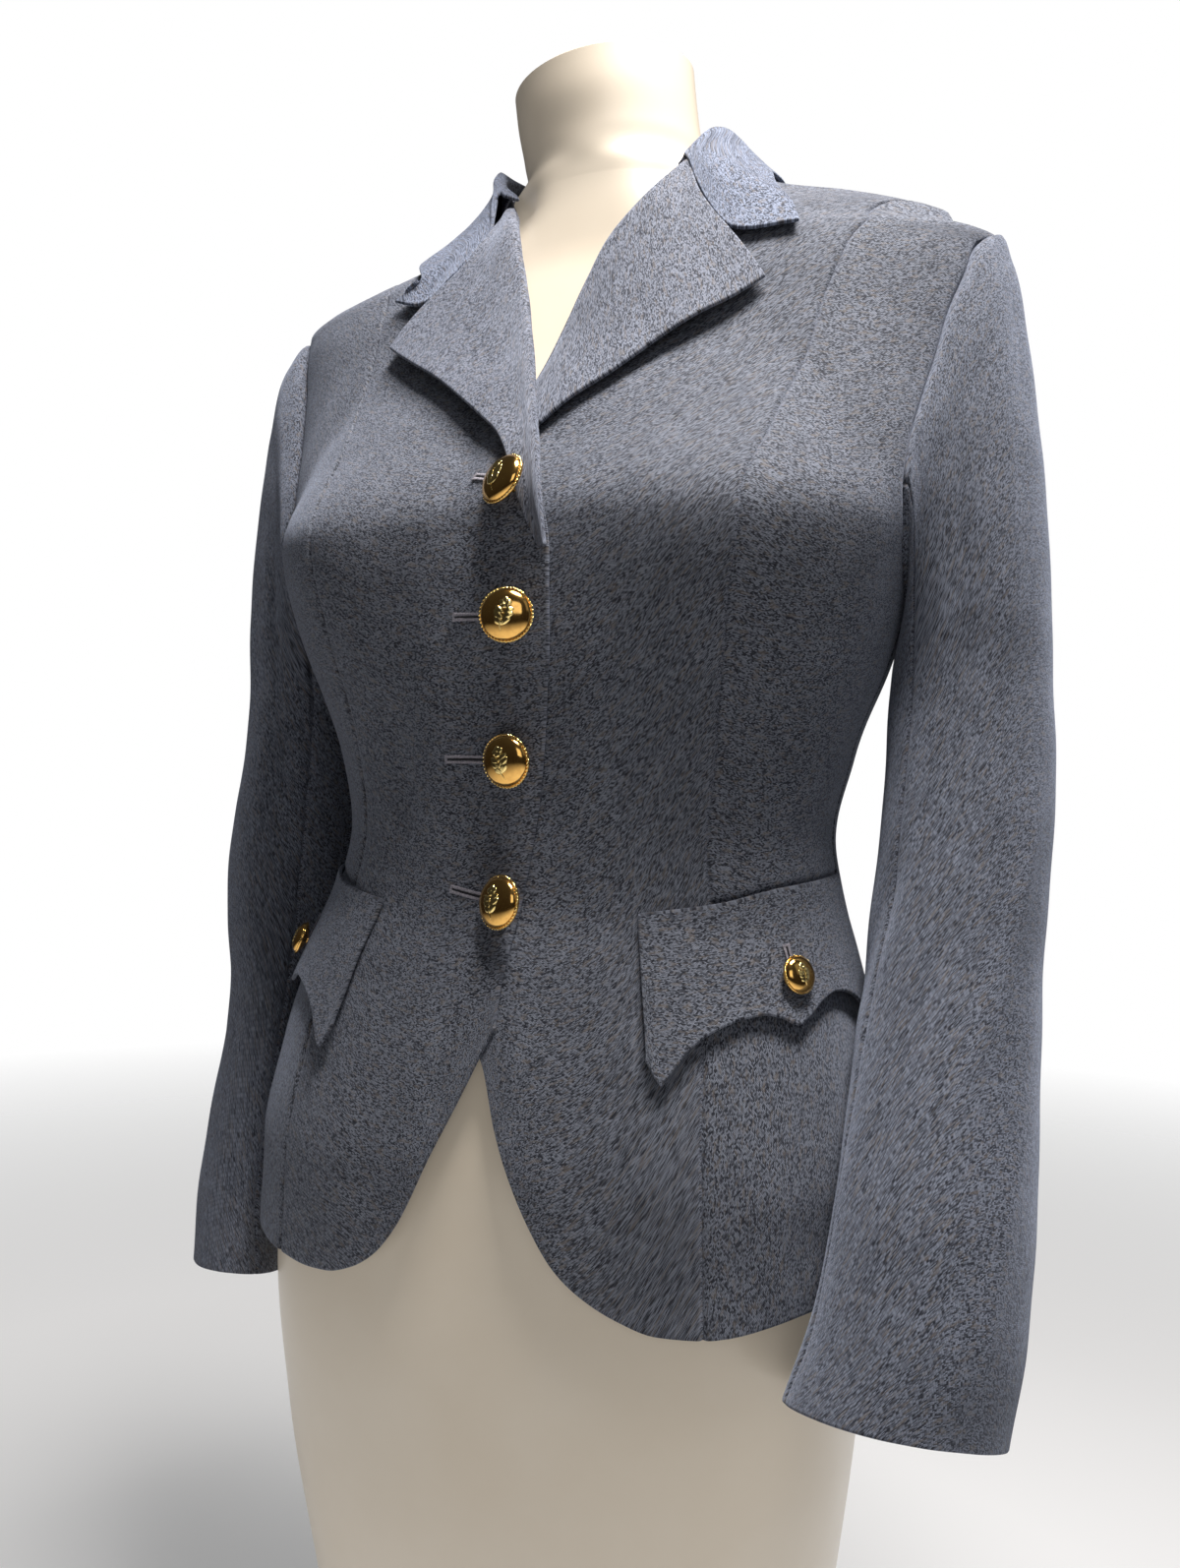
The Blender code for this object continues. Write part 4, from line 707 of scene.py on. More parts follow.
def sleeve_column(side, table, angle, drop, around):
    """One lengthwise line of a sleeve, from inside the armhole to the cuff."""
    centre = torso(side * 90.0, 0.5 * (ARMHOLE_ROWS[0] + ARMHOLE_ROWS[-1]))
    seam = torso(side * angle, drop)
    inward = (centre - seam) / np.linalg.norm(centre - seam)
    start = seam + inward * GAP
    out = torso(side * angle, drop, 1.0) - seam
    arm = sleeve_ring(side, table, ARM_TOP, around)
    height = start[2] - arm[2]
    lead = start + out * (CAP_FULLNESS[own_side(side)] + CAP_LEAN * height)
    follow = arm + np.array([0.0, 0.0, CAP_FOLLOW * height])
    points = [start - out * CAP_TUCK, start + out * CAP_START]
    for t in CAP_STEPS:
        curve = (1 - t) ** 3 * start + 3 * t * (1 - t) ** 2 * lead
        points.append(curve + 3 * t * t * (1 - t) * follow + t ** 3 * arm)
    for drop_here in np.linspace(ARM_TOP, table[0].drop, ARM_RINGS):
        points.append(sleeve_ring(side, table, float(drop_here), around))
    return np.array(points)


def lapel_point(side, reach, drop, out):
    x = side * reach
    return torso(angle_at(x, drop), drop, out + lap_out(side, x, drop))


def gorge_bow(part):
    """How far the gorge seam bows below a straight line, from 0 at its ends to 1 between."""
    return math.sin(math.pi * min(part, 1.0))


def cloth_below(point):
    """The place on the body cloth at a point's own angle and drop, and the cloth's normal there."""
    drop = point[2] - SHOULDER_HEIGHT
    x = point[0] - float(smooth(TORSO, "sway", drop))
    y = point[1] - float(smooth(TORSO, "side_y", drop))
    angle = math.degrees(math.atan2(x, -y))
    surface = torso(angle, drop)
    return surface, torso(angle, drop, 1.0) - surface


def off_front(side, point, gap):
    """Push a point out along the cloth's normal until it stands at least gap off the front."""
    surface, normal = cloth_below(point)
    height = float(np.dot(point - surface, normal))
    lap = float(lap_out(side, point[0], point[2] - SHOULDER_HEIGHT))
    return point + normal * max(0.0, gap + lap - height)


def collar_section(side, section, front):
    """One cross-section of the collar, base to outer edge; the front one ends the strip."""
    angle = math.radians(section.angle)
    outward = np.array([side * math.sin(angle), -math.cos(angle), 0.0])
    centre = np.array([0.0, NECK_CENTRE_Y, SHOULDER_HEIGHT])
    up = np.array([0.0, 0.0, 1.0])
    top = centre + outward * section.fold_radius + up * section.fold_rise
    base = torso(side * section.angle, section.base_drop)
    stand = section.fold_rise - section.base_drop
    fold = min(FOLD_HALF_WIDTH, FOLD_STAND_SHARE * stand + FOLD_LEAST)
    inside = top - outward * fold - up * fold
    outside = top + outward * fold - up * fold
    points = [base, 0.5 * (base + inside), inside, top, outside]
    name = own_side(side)
    edge_angle = side * getattr(section, name + "_angle")
    edge = torso(edge_angle, getattr(section, name + "_drop"), COLLAR_OUT)
    close = float(ease(section.angle, *RIGHT_BEND_TURN)) if side < 0 else 0.0
    bend_drop = section.base_drop - RIGHT_BEND_BELOW * close
    bend = torso(side * section.angle, bend_drop, COLLAR_BEND_OUT - RIGHT_BEND_IN * close)
    for share in FALL_STEPS:
        along = (1 - share) ** 2 * outside + 2 * share * (1 - share) * bend + share ** 2 * edge
        if front:
            along = gorge_point(side, share, edge)
        points.append(off_front(side, along, COLLAR_OUT))
    return points


def gorge_point(side, share, tip):
    """The collar's front end: the gorge seam down to the notch, then the notch's edge."""
    notch = NOTCH[own_side(side)]
    notch_share = FALL_STEPS[2]
    if share <= notch_share:
        start_drop = getattr(LAPEL[0], own_side(side) + "_roll") + GORGE_ABOVE_LAPEL
        start = float(smooth(FRONT_LINE, own_side(side), start_drop))
        part = share / notch_share
        width = math.hypot(notch.reach - start, notch.drop - start_drop)
        bow = getattr(LAPEL[0], own_side(side) + "_bow") * gorge_bow(part) / width
        x = side * (start + (notch.reach - start) * part + (notch.drop - start_drop) * bow)
        drop = start_drop + (notch.drop - start_drop) * part - (notch.reach - start) * bow
        return torso(angle_at(x, drop), drop, COLLAR_OUT + GORGE_RISE * (1 - part))
    part = (share - notch_share) / (1 - notch_share)
    corner = torso(angle_at(side * notch.reach, notch.drop), notch.drop, COLLAR_OUT)
    return corner + (tip - corner) * part


def places(lengths, step):
    """Places along a line, as whole numbers and fractions: closer near both ends for a pressed edge."""
    found = [float(len(lengths))]
    for k, length in enumerate(lengths):
        parts = max(1, int(math.ceil(length / step)))
        found += [k + part / parts for part in range(parts)]
    found += [near / lengths[0] for near in EDGE_PLACES if near < lengths[0]]
    found += [len(lengths) - near / lengths[-1] for near in EDGE_PLACES if near < lengths[-1]]
    return np.array(sorted(set(found)))


def curve_at(points, at):
    """Points at places along a smooth curve through the rows of points."""
    points = np.asarray(points, float)
    chord = np.linalg.norm(np.diff(points, axis=0), axis=-1, keepdims=True) + 1e-9
    secant = np.diff(points, axis=0) / chord
    slope = np.empty_like(points)
    slope[0], slope[-1] = secant[0], secant[-1]
    before, after = chord[:-1], chord[1:]
    slope[1:-1] = (secant[:-1] * after + secant[1:] * before) / (before + after)
    k = np.clip(np.floor(at).astype(int), 0, len(points) - 2)
    t = (at - k).reshape((-1,) + (1,) * (points.ndim - 1))
    start = (1 + 2 * t) * (1 - t) ** 2 * points[k] + t * (1 - t) ** 2 * chord[k] * slope[k]
    end = t * t * (3 - 2 * t) * points[k + 1] + t * t * (t - 1) * chord[k] * slope[k + 1]
    return start + end


def refine(grid, step):
    """A finer grid on the smooth surface through a grid of points."""
    lengths = np.linalg.norm(np.diff(grid, axis=0), axis=-1).max(axis=1)
    grid = curve_at(grid, places(lengths, step))
    lengths = np.linalg.norm(np.diff(grid, axis=1), axis=-1).max(axis=0)
    columns = curve_at(np.swapaxes(grid, 0, 1), places(lengths, step))
    return np.swapaxes(columns, 0, 1)


def run_lengths(grid, axis):
    """Distance along the grid's lines from their first point."""
    steps = np.linalg.norm(np.diff(grid, axis=axis), axis=-1)
    first = np.zeros_like(np.take(steps, [0], axis=axis))
    return np.concatenate([first, np.cumsum(steps, axis=axis)], axis=axis)


def seam_groove(grid, seams):
    """How far the cloth dips beside its seams, which name the grid's sides."""
    down, across = run_lengths(grid, 0), run_lengths(grid, 1)
    distance = {
        "top": down,
        "bottom": down[-1:] - down,
        "start": across,
        "end": across[:, -1:] - across,
    }
    dip = np.zeros(grid.shape[:2])
    for side in seams:
        dip = np.maximum(dip, np.exp(-(distance[side] / SEAM_WIDTH) ** 2))
    return -settings().seam_depth * dip


def settings():
    return bpy.context.scene.jacket


def hill(distance, width):
    return np.exp(-(distance / width) ** 2)


def crease_relief(creases, across, along):
    """Sum of listed creases: soft troughs below zero and ridges above, in metres.

    Each runs from one end to the other in the piece's own sizes, bowed to one side.
    """
    total = np.zeros(np.broadcast(across, along).shape)
    for crease in creases:
        run_x = crease.to_x - crease.from_x
        run_y = crease.to_y - crease.from_y
        length = math.hypot(run_x, run_y)
        share = ((across - crease.from_x) * run_x + (along - crease.from_y) * run_y) / length ** 2
        off = ((across - crease.from_x) * run_y - (along - crease.from_y) * run_x) / length
        inside = np.clip(share, 0.0, 1.0)
        off = off - crease.bow * 4 * inside * (1 - inside)
        width = crease.width * np.interp(inside, (0.0, 1.0), CREASE_WIDTHS)
        fade = ease(share, *CREASE_FADE_IN) * ease(share, *CREASE_FADE_OUT)
        total += crease.height * fade * hill(off, width)
    return total * settings().crease_strength


def ripple(across, along):
    """The slight unevenness of hanging cloth."""
    total = np.zeros(np.broadcast(across, along).shape)
    for wave in RIPPLES:
        total += wave.height * np.sin(
            2 * math.pi * (across * wave.per_across + along * wave.per_along) + wave.phase
        )
    return total


def sheet_object(name, outer, inner, material, weave_angle=0.0):
    """Close two grids, outer and inner face, into one wall of cloth with a rounded rim."""
    rows, columns = outer.shape[:2]
    count = rows * columns
    index = np.arange(count).reshape(rows, columns)
    a, b = index[:-1, :-1].ravel(), index[:-1, 1:].ravel()
    c, d = index[1:, 1:].ravel(), index[1:, :-1].ravel()
    quads = [np.stack([a, b, c, d], 1), np.stack([d, c, b, a], 1) + count]
    middle = 0.5 * (outer + inner)
    away = np.zeros_like(middle)
    for edge, within in ((0, 1), (-1, -2)):
        away[edge] += unit(middle[edge] - middle[within])
        away[:, edge] += unit(middle[:, edge] - middle[:, within])
    away = unit(away)
    ring = np.concatenate([index[0], index[1:, -1], index[-1, -2::-1], index[-2:0:-1, 0]])
    flat_middle, flat_away = middle.reshape(-1, 3)[ring], away.reshape(-1, 3)[ring]
    half = 0.5 * (outer - inner).reshape(-1, 3)[ring]
    thick = np.linalg.norm(half, axis=-1, keepdims=True)
    points = [outer.reshape(-1, 3), inner.reshape(-1, 3)]
    across, down = run_lengths(outer, 1), run_lengths(outer, 0)
    turn = math.radians(weave_angle)
    across = across - 0.5 * across[:, -1:]
    flat = np.stack([
        across * math.cos(turn) - down * math.sin(turn),
        across * math.sin(turn) + down * math.cos(turn),
    ], -1).reshape(-1, 2)
    weave = [flat, flat]
    levels = [ring]
    for step in range(1, RIM_STEPS + 1):
        lean = math.pi * step / (RIM_STEPS + 1)
        points.append(flat_middle + flat_away * thick * math.sin(lean) + half * math.cos(lean))
        weave.append(flat[ring])
        levels.append(2 * count + (step - 1) * len(ring) + np.arange(len(ring)))
    levels.append(ring + count)
    for upper, lower in zip(levels, levels[1:]):
        quads.append(np.stack([np.roll(upper, -1), upper, lower, np.roll(lower, -1)], 1))
    item = mesh_object(name + "_cloth", np.concatenate(points), np.concatenate(quads).tolist(), material)
    layer = item.data.uv_layers.new(name="Weave")
    corners = np.zeros(len(item.data.loops), int)
    item.data.loops.foreach_get("vertex_index", corners)
    layer.data.foreach_set("uv", np.concatenate(weave)[corners].ravel())
    return item


def unit(vectors):
    return vectors / (np.linalg.norm(vectors, axis=-1, keepdims=True) + 1e-12)


def new_object(name, data):
    item = bpy.data.objects.new(name, data)
    bpy.context.scene.collection.objects.link(item)
    return item


def mesh_object(name, points, faces, material):
    """A smooth object from points and faces, its normals turned outwards."""
    mesh = bpy.data.meshes.new(name)
    mesh.from_pydata([tuple(p) for p in points], [], faces)
    shape = bmesh.new()
    shape.from_mesh(mesh)
    bmesh.ops.recalc_face_normals(shape, faces=shape.faces)
    shape.to_mesh(mesh)
    shape.free()
    mesh.materials.append(material)
    mesh.shade_smooth()
    return new_object(name, mesh)


def place_piece(item, replaced=None):
    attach(item, "root")
    if replaced:
        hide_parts(replaced)


def wear(item, grid, node, rests_on):
    """Put a finished piece of cloth in its solid's place; the flat size and area of its grid are worked
    out but not kept.
    """
    place_piece(item, node)
    width = round(float(run_lengths(grid, 1)[:, -1].max()), 3)
    length = round(float(run_lengths(grid, 0)[-1].max()), 3)
    across, down = np.diff(grid, axis=1)[:-1], np.diff(grid, axis=0)[:, :-1]
    area = round(float(np.linalg.norm(np.cross(across, down), axis=-1).sum()), 4)
    area = min(area, width * length)


def panel_rows(top, bottom, step):
    count = max(2, int(math.ceil(abs(top - bottom) / step)))
    return np.linspace(top, bottom, count + 1)


def spread(length, step):
    """Even shares from 0 to 1, with closer ones near both ends for the pressed edges."""
    shares = list(np.linspace(0.0, 1.0, max(2, int(math.ceil(length / step))) + 1))
    for near in EDGE_PLACES:
        shares += [near / length, 1.0 - near / length]
    return np.array(sorted(shares))


def body_panel(name, side, angle, drop, material, seams, weave_angle=0.0):
    """A body panel from its grid of own angles and drops, put in its solid's place."""
    x = torso(side * angle, drop)[..., 0]
    out = lap_out(side, x, drop) * (angle < LAP_LIMIT)
    out = out + crease_relief(CREASES[own_side(side)], angle, drop * 1000)
    out = out + ripple(angle * RIPPLE_PER_DEGREE, drop)
    out = out + seam_groove(torso(side * angle, drop, out), seams)
    outer = torso(side * angle, drop, out)
    inner = torso(side * angle, drop, out - settings().cloth_wall)
    item = sheet_object(name, outer, inner, material, weave_angle)
    wear(item, outer, name, ["form_torso"])


def panel_grid(side, rows, starts, ends, share, seam_side=None):
    """Angles and drops of a panel whose last rows run down to the rounded hem."""
    angles = [start + (end - start) * share for start, end in zip(starts, ends)]
    drops = [np.full(share.shape, row) for row in rows]
    floor = rows[-1]
    foot = float(hem_drop(side, princess_angle(side, PRINCESS[0].drop)))
    count = int(math.ceil((floor - foot) / settings().cloth_step))
    near_hem = {1 - near / (floor - foot) for near in EDGE_PLACES}
    for fraction in sorted(set(np.linspace(0, 1, count + 1)[1:]) | near_hem):
        seam = princess_angle(side, floor + (foot - floor) * fraction)
        start = seam if seam_side == "start" else starts[-1]
        end = seam if seam_side == "end" else ends[-1]
        angle = start + (end - start) * share
        angles.append(angle)
        drops.append(floor + (hem_drop(side, angle) - floor) * fraction)
    return np.array(angles), np.array(drops)


def make_front(side, material):
    step = settings().cloth_step
    rows = panel_rows(PANEL_TOP, HEM_START, step)
    starts = [float(front_line_angle(side, row)) for row in rows]
    ends = [min(princess_angle(side, row), SHOULDER_SEAM) for row in rows]
    angle, drop = panel_grid(side, rows, starts, ends, spread(FRONT_WIDTH, step), "end")
    body_panel("front_" + own_side(side), side, angle, drop, material, ("end", "top"))


def make_side_front(side, material):
    step = settings().cloth_step
    share = spread(SIDE_FRONT_WIDTH, step)
    rows = panel_rows(PRINCESS[-1].drop - SHOULDER_GAP, PRINCESS_WAIST, step)
    starts = np.array([princess_angle(side, row) for row in rows])
    ends = np.array([front_side_angle(row) for row in rows])
    angle = starts[:, None] + (np.maximum(ends - starts, LEAST_SPAN))[:, None] * share
    drop = np.broadcast_to(rows[:, None], angle.shape)
    drop = drop + ease(drop, WAIST_LIFT_START, PRINCESS_WAIST) * (waist_drop(angle) - PRINCESS_WAIST)
    seams = ("start", "end", "top", "bottom")
    body_panel("side_front_upper_" + own_side(side), side, angle, drop, material, seams)
    rows = panel_rows(PRINCESS_WAIST, HEM_START, step)
    starts = [princess_angle(side, row) for row in rows]
    angle, drop = panel_grid(side, rows, starts, [SIDE_SEAM] * len(rows), share, "start")
    drop = drop + ease(drop, HEM_START, PRINCESS_WAIST) * (waist_drop(angle) - PRINCESS_WAIST)
    seams = ("start", "end", "top")
    body_panel("side_front_lower_" + own_side(side), side, angle, drop, material, seams, SIDE_WEAVE_TURN)


def make_back(side, material):
    step = settings().cloth_step
    rows = panel_rows(PANEL_TOP, HEM_START, step)
    starts = [back_side_angle(row) for row in rows]
    angle, drop = panel_grid(side, rows, starts, [180.0] * len(rows), spread(BACK_WIDTH, step))
    body_panel("back_" + own_side(side), side, angle, drop, material, ("start", "end", "top"))


def make_sleeve(side, table, material):
    stations = armhole_stations()
    count = len(stations)
    around = np.array([station[2] for station in stations])
    tube = np.array([sleeve_column(side, table, *station) for station in stations])
    lead, follow = SLEEVE_OVERLAP, SLEEVE_OVERLAP + 1
    wide = np.concatenate([tube[-lead:], tube, tube, tube[:follow]])
    wide_around = np.concatenate([around[-lead:] - 360, around, around + 360, around[:follow] + 720])
    front, back = FRONT_SEAM_INDEX, count - FRONT_SEAM_INDEX
    for name, first, last in (("under", front, back), ("upper", back, front + count)):
        lengths = np.linalg.norm(np.diff(wide[first + lead:last + follow], axis=0), axis=-1).max(axis=1)
        at = places(lengths, settings().cloth_step) + first + lead
        lines = curve_at(wide, at)
        turn = np.interp(at, np.arange(len(wide)), wide_around)
        lengths = np.linalg.norm(np.diff(lines, axis=1), axis=-1).max(axis=0)
        down = places(lengths, settings().cloth_step)
        grid = np.swapaxes(curve_at(np.swapaxes(lines, 0, 1), down), 0, 1)
        normal = grid_normals(grid)
        outward = grid.mean(axis=(0, 1)) - tube.mean(axis=(0, 1))
        normal = normal * np.sign((normal * outward).sum(-1).mean())
        drop = grid[..., 2] - SHOULDER_HEIGHT
        turns = turn[:, None] + np.zeros_like(drop)
        wrapped = (turns + 180) % 360 - 180
        relief = crease_relief(SLEEVE_CREASES[own_side(side)], wrapped, drop * 1000)
        unevenness = ripple(turns * SLEEVE_RIPPLE_PER_DEGREE, drop)
        relief = relief + unevenness * ease(drop, *SLEEVE_RIPPLE_FROM)
        relief = relief * ease(down, *SLEEVE_HIDDEN) + seam_groove(grid, ("top", "bottom"))
        outer = grid + normal * relief[..., None]
        inner = outer - normal * settings().cloth_wall
        node = "sleeve_%s_%s" % (name, own_side(side))
        outer, inner = np.swapaxes(outer, 0, 1), np.swapaxes(inner, 0, 1)
        item = sheet_object(node, outer, inner, material, SLEEVE_WEAVE_TURN)
        rests = ["front_" + own_side(side), "back_" + own_side(side)]
        wear(item, outer, node, rests)


def lapel_grid(side):
    """The lapel's lines from its roll to its outer edge, from the gorge down."""
    name = own_side(side)
    rows = [row for row in LAPEL if getattr(row, name + "_reach") is not None]
    grid = []
    for index, row in enumerate(rows):
        roll_drop, edge, edge_drop, row_bow = (
            getattr(row, name + part) for part in ("_roll", "_reach", "_drop", "_bow")
        )
        roll = float(smooth(FRONT_LINE, name, roll_drop))
        flat, merge = 1.0, 0.0
        if side > 0:
            flat -= TUCKED_FLATNESS * float(ease(index, *(len(rows) - k for k in TUCKED_ROWS)))
        else:
            merge = float(ease(index, *(len(rows) - k for k in LAPEL_SINK_ROWS)))
        sink = LAPEL_SINK * merge
        width = math.hypot(edge - roll, edge_drop - roll_drop)
        toward_x, toward_z = (edge - roll) / width, (edge_drop - roll_drop) / width
        line = []
        for spot in ROLL:
            reach = roll - toward_x * spot.beyond * (1.0 - merge)
            drop = roll_drop - toward_z * spot.beyond * (1.0 - merge)
            out = LAPEL_LIE + (spot.out - LAPEL_LIE) * flat
            line.append(lapel_point(side, reach, drop, out - sink))
        stand_off = LAPEL_WALL + LAPEL_LIE + (row.stand_off - LAPEL_LIE) * flat
        crown = LAPEL_WALL + LAPEL_LIE + (ROLL_CROWN - LAPEL_WALL) * flat
        for share in LAPEL_STEPS:
            bow = row_bow * gorge_bow(share / NOTCH_SHARE)
            reach = roll + (edge - roll) * share + toward_z * bow
            drop = roll_drop + (edge_drop - roll_drop) * share - toward_x * bow
            out = crown + (stand_off - crown) * float(ease(share, 0.0, 1.0))
            line.append(lapel_point(side, reach, drop, out - sink))
        grid.append(line)
    return np.array(grid)


def make_lapel(side, material):
    grid = refine(lapel_grid(side), settings().cloth_step * FOLD_STEP)
    normal = grid_normals(grid)
    facing = np.sign(normal[len(grid) // 2, -2, 1])
    out = -normal * facing
    across, down = run_lengths(grid, 1), run_lengths(grid, 0)
    relief = crease_relief(LAPEL_CREASES, across, down)
    relief = relief + LAPEL_RIPPLE * ripple(across, down)
    grid = grid + out * relief[..., None]
    inner = grid - out * LAPEL_WALL
    node = "lapel_" + own_side(side)
    item = sheet_object(node, grid, inner, material, LAPEL_WEAVE_TURN[own_side(side)])
    wear(item, grid, node, ["front_" + own_side(side)])


def make_collar(material):
    halves = []
    for side in (1, -1):
        halves.append(np.array([collar_section(side, row, row is COLLAR[0]) for row in COLLAR]))
    grid = refine(np.concatenate([halves[0], halves[1][-2::-1]]), settings().cloth_step * FOLD_STEP)
    normal = grid_normals(grid)
    facing = -np.sign(normal[len(grid) // 2, -3, 1])
    relief = COLLAR_RIPPLE * ripple(run_lengths(grid, 0), run_lengths(grid, 1))
    grid = grid - normal * facing * relief[..., None]
    inner = grid + normal * facing * settings().cloth_wall
    item = sheet_object("collar", grid, inner, material, COLLAR_WEAVE_TURN)
    rests = ["front_left", "front_right", "back_left", "back_right"]
    wear(item, grid, "collar", rests)


def flap_grid(side, depth):
    """The flap's face, moved depth down into its thickness; more lines near its points."""
    angles = []
    for here, there in zip(FLAP, FLAP[1:]):
        parts = max(1, int(round((there.angle - here.angle) / FLAP_LINE_ANGLE)))
        angles += [here.angle + (there.angle - here.angle) * part / parts for part in range(parts)]
    angles.append(FLAP[-1].angle)
    angles = np.array(angles)
    top = waist_drop(angles) - FLAP_TOP_GAP
    lower = smooth(FLAP, "drop", angles)
    share = spread(FLAP_DEPTH, settings().cloth_step * FLAP_STEP)[:, None]
    drop = top + (lower - top) * share
    angle = np.broadcast_to(angles, drop.shape)
    x = torso_point(side * angle, drop)[..., 0]
    out = FLAP_SEAM_OUT + FLAP_FLARE * share + lap_out(side, x, drop) - depth
    curl = FLAP_CURL * ease(share, *FLAP_CURL_FROM)
    return torso(side * angle, drop, out + curl)


def make_flap(side, material):
    outer = flap_grid(side, 0.0)
    item = sheet_object("flap_" + own_side(side), outer, flap_grid(side, WALL), material, 0.0)
    rests = ["side_front_lower_" + own_side(side), "side_front_upper_" + own_side(side)]
    wear(item, outer, "flap_" + own_side(side), rests)


def make_form(material):
    """The torso and neck of the dress form, smooth, on the same rings as its solid."""
    turns = np.linspace(0.0, 360.0, FORM_SIDES, endpoint=False)
    rings = [torso(turns, FORM_LOW, -FORM_BOTTOM_INSET)]
    rings[0][:, 2] = FORM_BOTTOM + SHOULDER_HEIGHT
    for drop in panel_rows(FORM_LOW, FORM_HIGH, FORM_STEP)[:-1]:
        rings.append(torso(turns, drop, -float(smooth(FORM_INSET, "inset", drop))))
    rings.append(torso(turns, FORM_HIGH, -float(smooth(FORM_INSET, "inset", FORM_HIGH))))
    for ring in NECK:
        x = ring.centre_x + ring.radius * np.sin(np.radians(turns))
        y = ring.centre_y - ring.radius * np.cos(np.radians(turns))
        z = SHOULDER_HEIGHT + ring.rise + ring.tilt_x * (x - ring.centre_x) + ring.tilt_y * y
        rings.append(np.stack([x, y, z], axis=-1))
    neck = curve_at(np.array(rings[-len(NECK) - 2:-1]), np.linspace(0, len(NECK), FORM_NECK_RINGS))
    rings = np.concatenate([np.array(rings[:-len(NECK) - 2]), neck, [rings[-1]]])
    count = len(rings)
    faces = []
    for i in range(count - 1):
        for j in range(FORM_SIDES):
            a, b = i * FORM_SIDES + j, i * FORM_SIDES + (j + 1) % FORM_SIDES
            faces.append((a, b, b + FORM_SIDES, a + FORM_SIDES))
    last = (count - 1) * FORM_SIDES
    faces.append(tuple(range(FORM_SIDES - 1, -1, -1)))
    faces.append(tuple(range(last, last + FORM_SIDES)))
    item = mesh_object("form_shell", rings.reshape(-1, 3), faces, material)
    item.data.set_sharp_from_angle(angle=math.radians(FORM_SHARP))
    place_piece(item, "form_torso")


class Value:
    """A socket of a material; Python's operators on a number add its Math nodes."""

    def __init__(self, finish, socket):
        self.finish = finish
        self.socket = socket

    def math(self, operation, *others):
        values = dict(enumerate((self,) + others))
        return self.finish.node("ShaderNodeMath", {"operation": operation}, values)

    def __add__(self, other):
        return self.math("ADD", other)

    def __sub__(self, other):
        return self.math("SUBTRACT", other)

    def __rsub__(self, other):
        return self.math("MULTIPLY", -1.0).math("ADD", other)

    def __mul__(self, other):
        return self.math("MULTIPLY", other)

    def __truediv__(self, other):
        return self.math("DIVIDE", other)

    def __pow__(self, other):
        return self.math("POWER", other)

    __radd__ = __add__
    __rmul__ = __mul__


class Finish:
    """A material under construction, with one method that adds any node to it."""

    def __init__(self, name):
        self.material = bpy.data.materials.new(name)
        self.material.use_nodes = True
        self.nodes = self.material.node_tree.nodes
        self.links = self.material.node_tree.links
        self.shader = self.nodes["Principled BSDF"]

    def feed(self, node, values):
        for key, value in values.items():
            if isinstance(value, Value):
                self.links.new(value.socket, node.inputs[key])
            else:
                node.inputs[key].default_value = value

    def node(self, kind, options=None, values=None, output=0):
        node = self.nodes.new(kind)
        for key, value in (options or {}).items():
            if key == "stops":
                ramp = node.color_ramp
                while len(ramp.elements) < len(value):
                    ramp.elements.new(0.5)
                for element, (place, colour) in zip(ramp.elements, value):
                    element.position = place
                    element.color = colour
            else:
                setattr(node, key, value)
        self.feed(node, values or {})
        return Value(self, node.outputs[output])

    def mix(self, share, first, second):
        return self.node("ShaderNodeMix", {"data_type": "RGBA"}, {0: share, 6: first, 7: second}, 2)

    def noise(self, vector, scale, detail=2.0):
        values = {"Vector": vector, "Scale": scale, "Detail": detail}
        return self.node("ShaderNodeTexNoise", {}, values)

    def own_place(self):
        return self.node("ShaderNodeTexCoord", {}, {}, 3)

    def mapping(self, vector, **change):
        return self.node("ShaderNodeMapping", {}, {"Vector": vector, **change})

    def bump(self, height, distance, strength):
        values = {"Height": height, "Distance": distance, "Strength": strength}
        self.feed(self.shader, {"Normal": self.node("ShaderNodeBump", {}, values)})

    def set(self, **sockets):
        self.feed(self.shader, {name.replace("_", " "): value for name, value in sockets.items()})


def solid(colour):
    return (*colour, 1.0)


def contrast(value, low, high):
    """Stretch a noise value so that low becomes 0 and high 1."""
    return ((value - low) / (high - low)).math("MINIMUM", 1.0).math("MAXIMUM", 0.0)


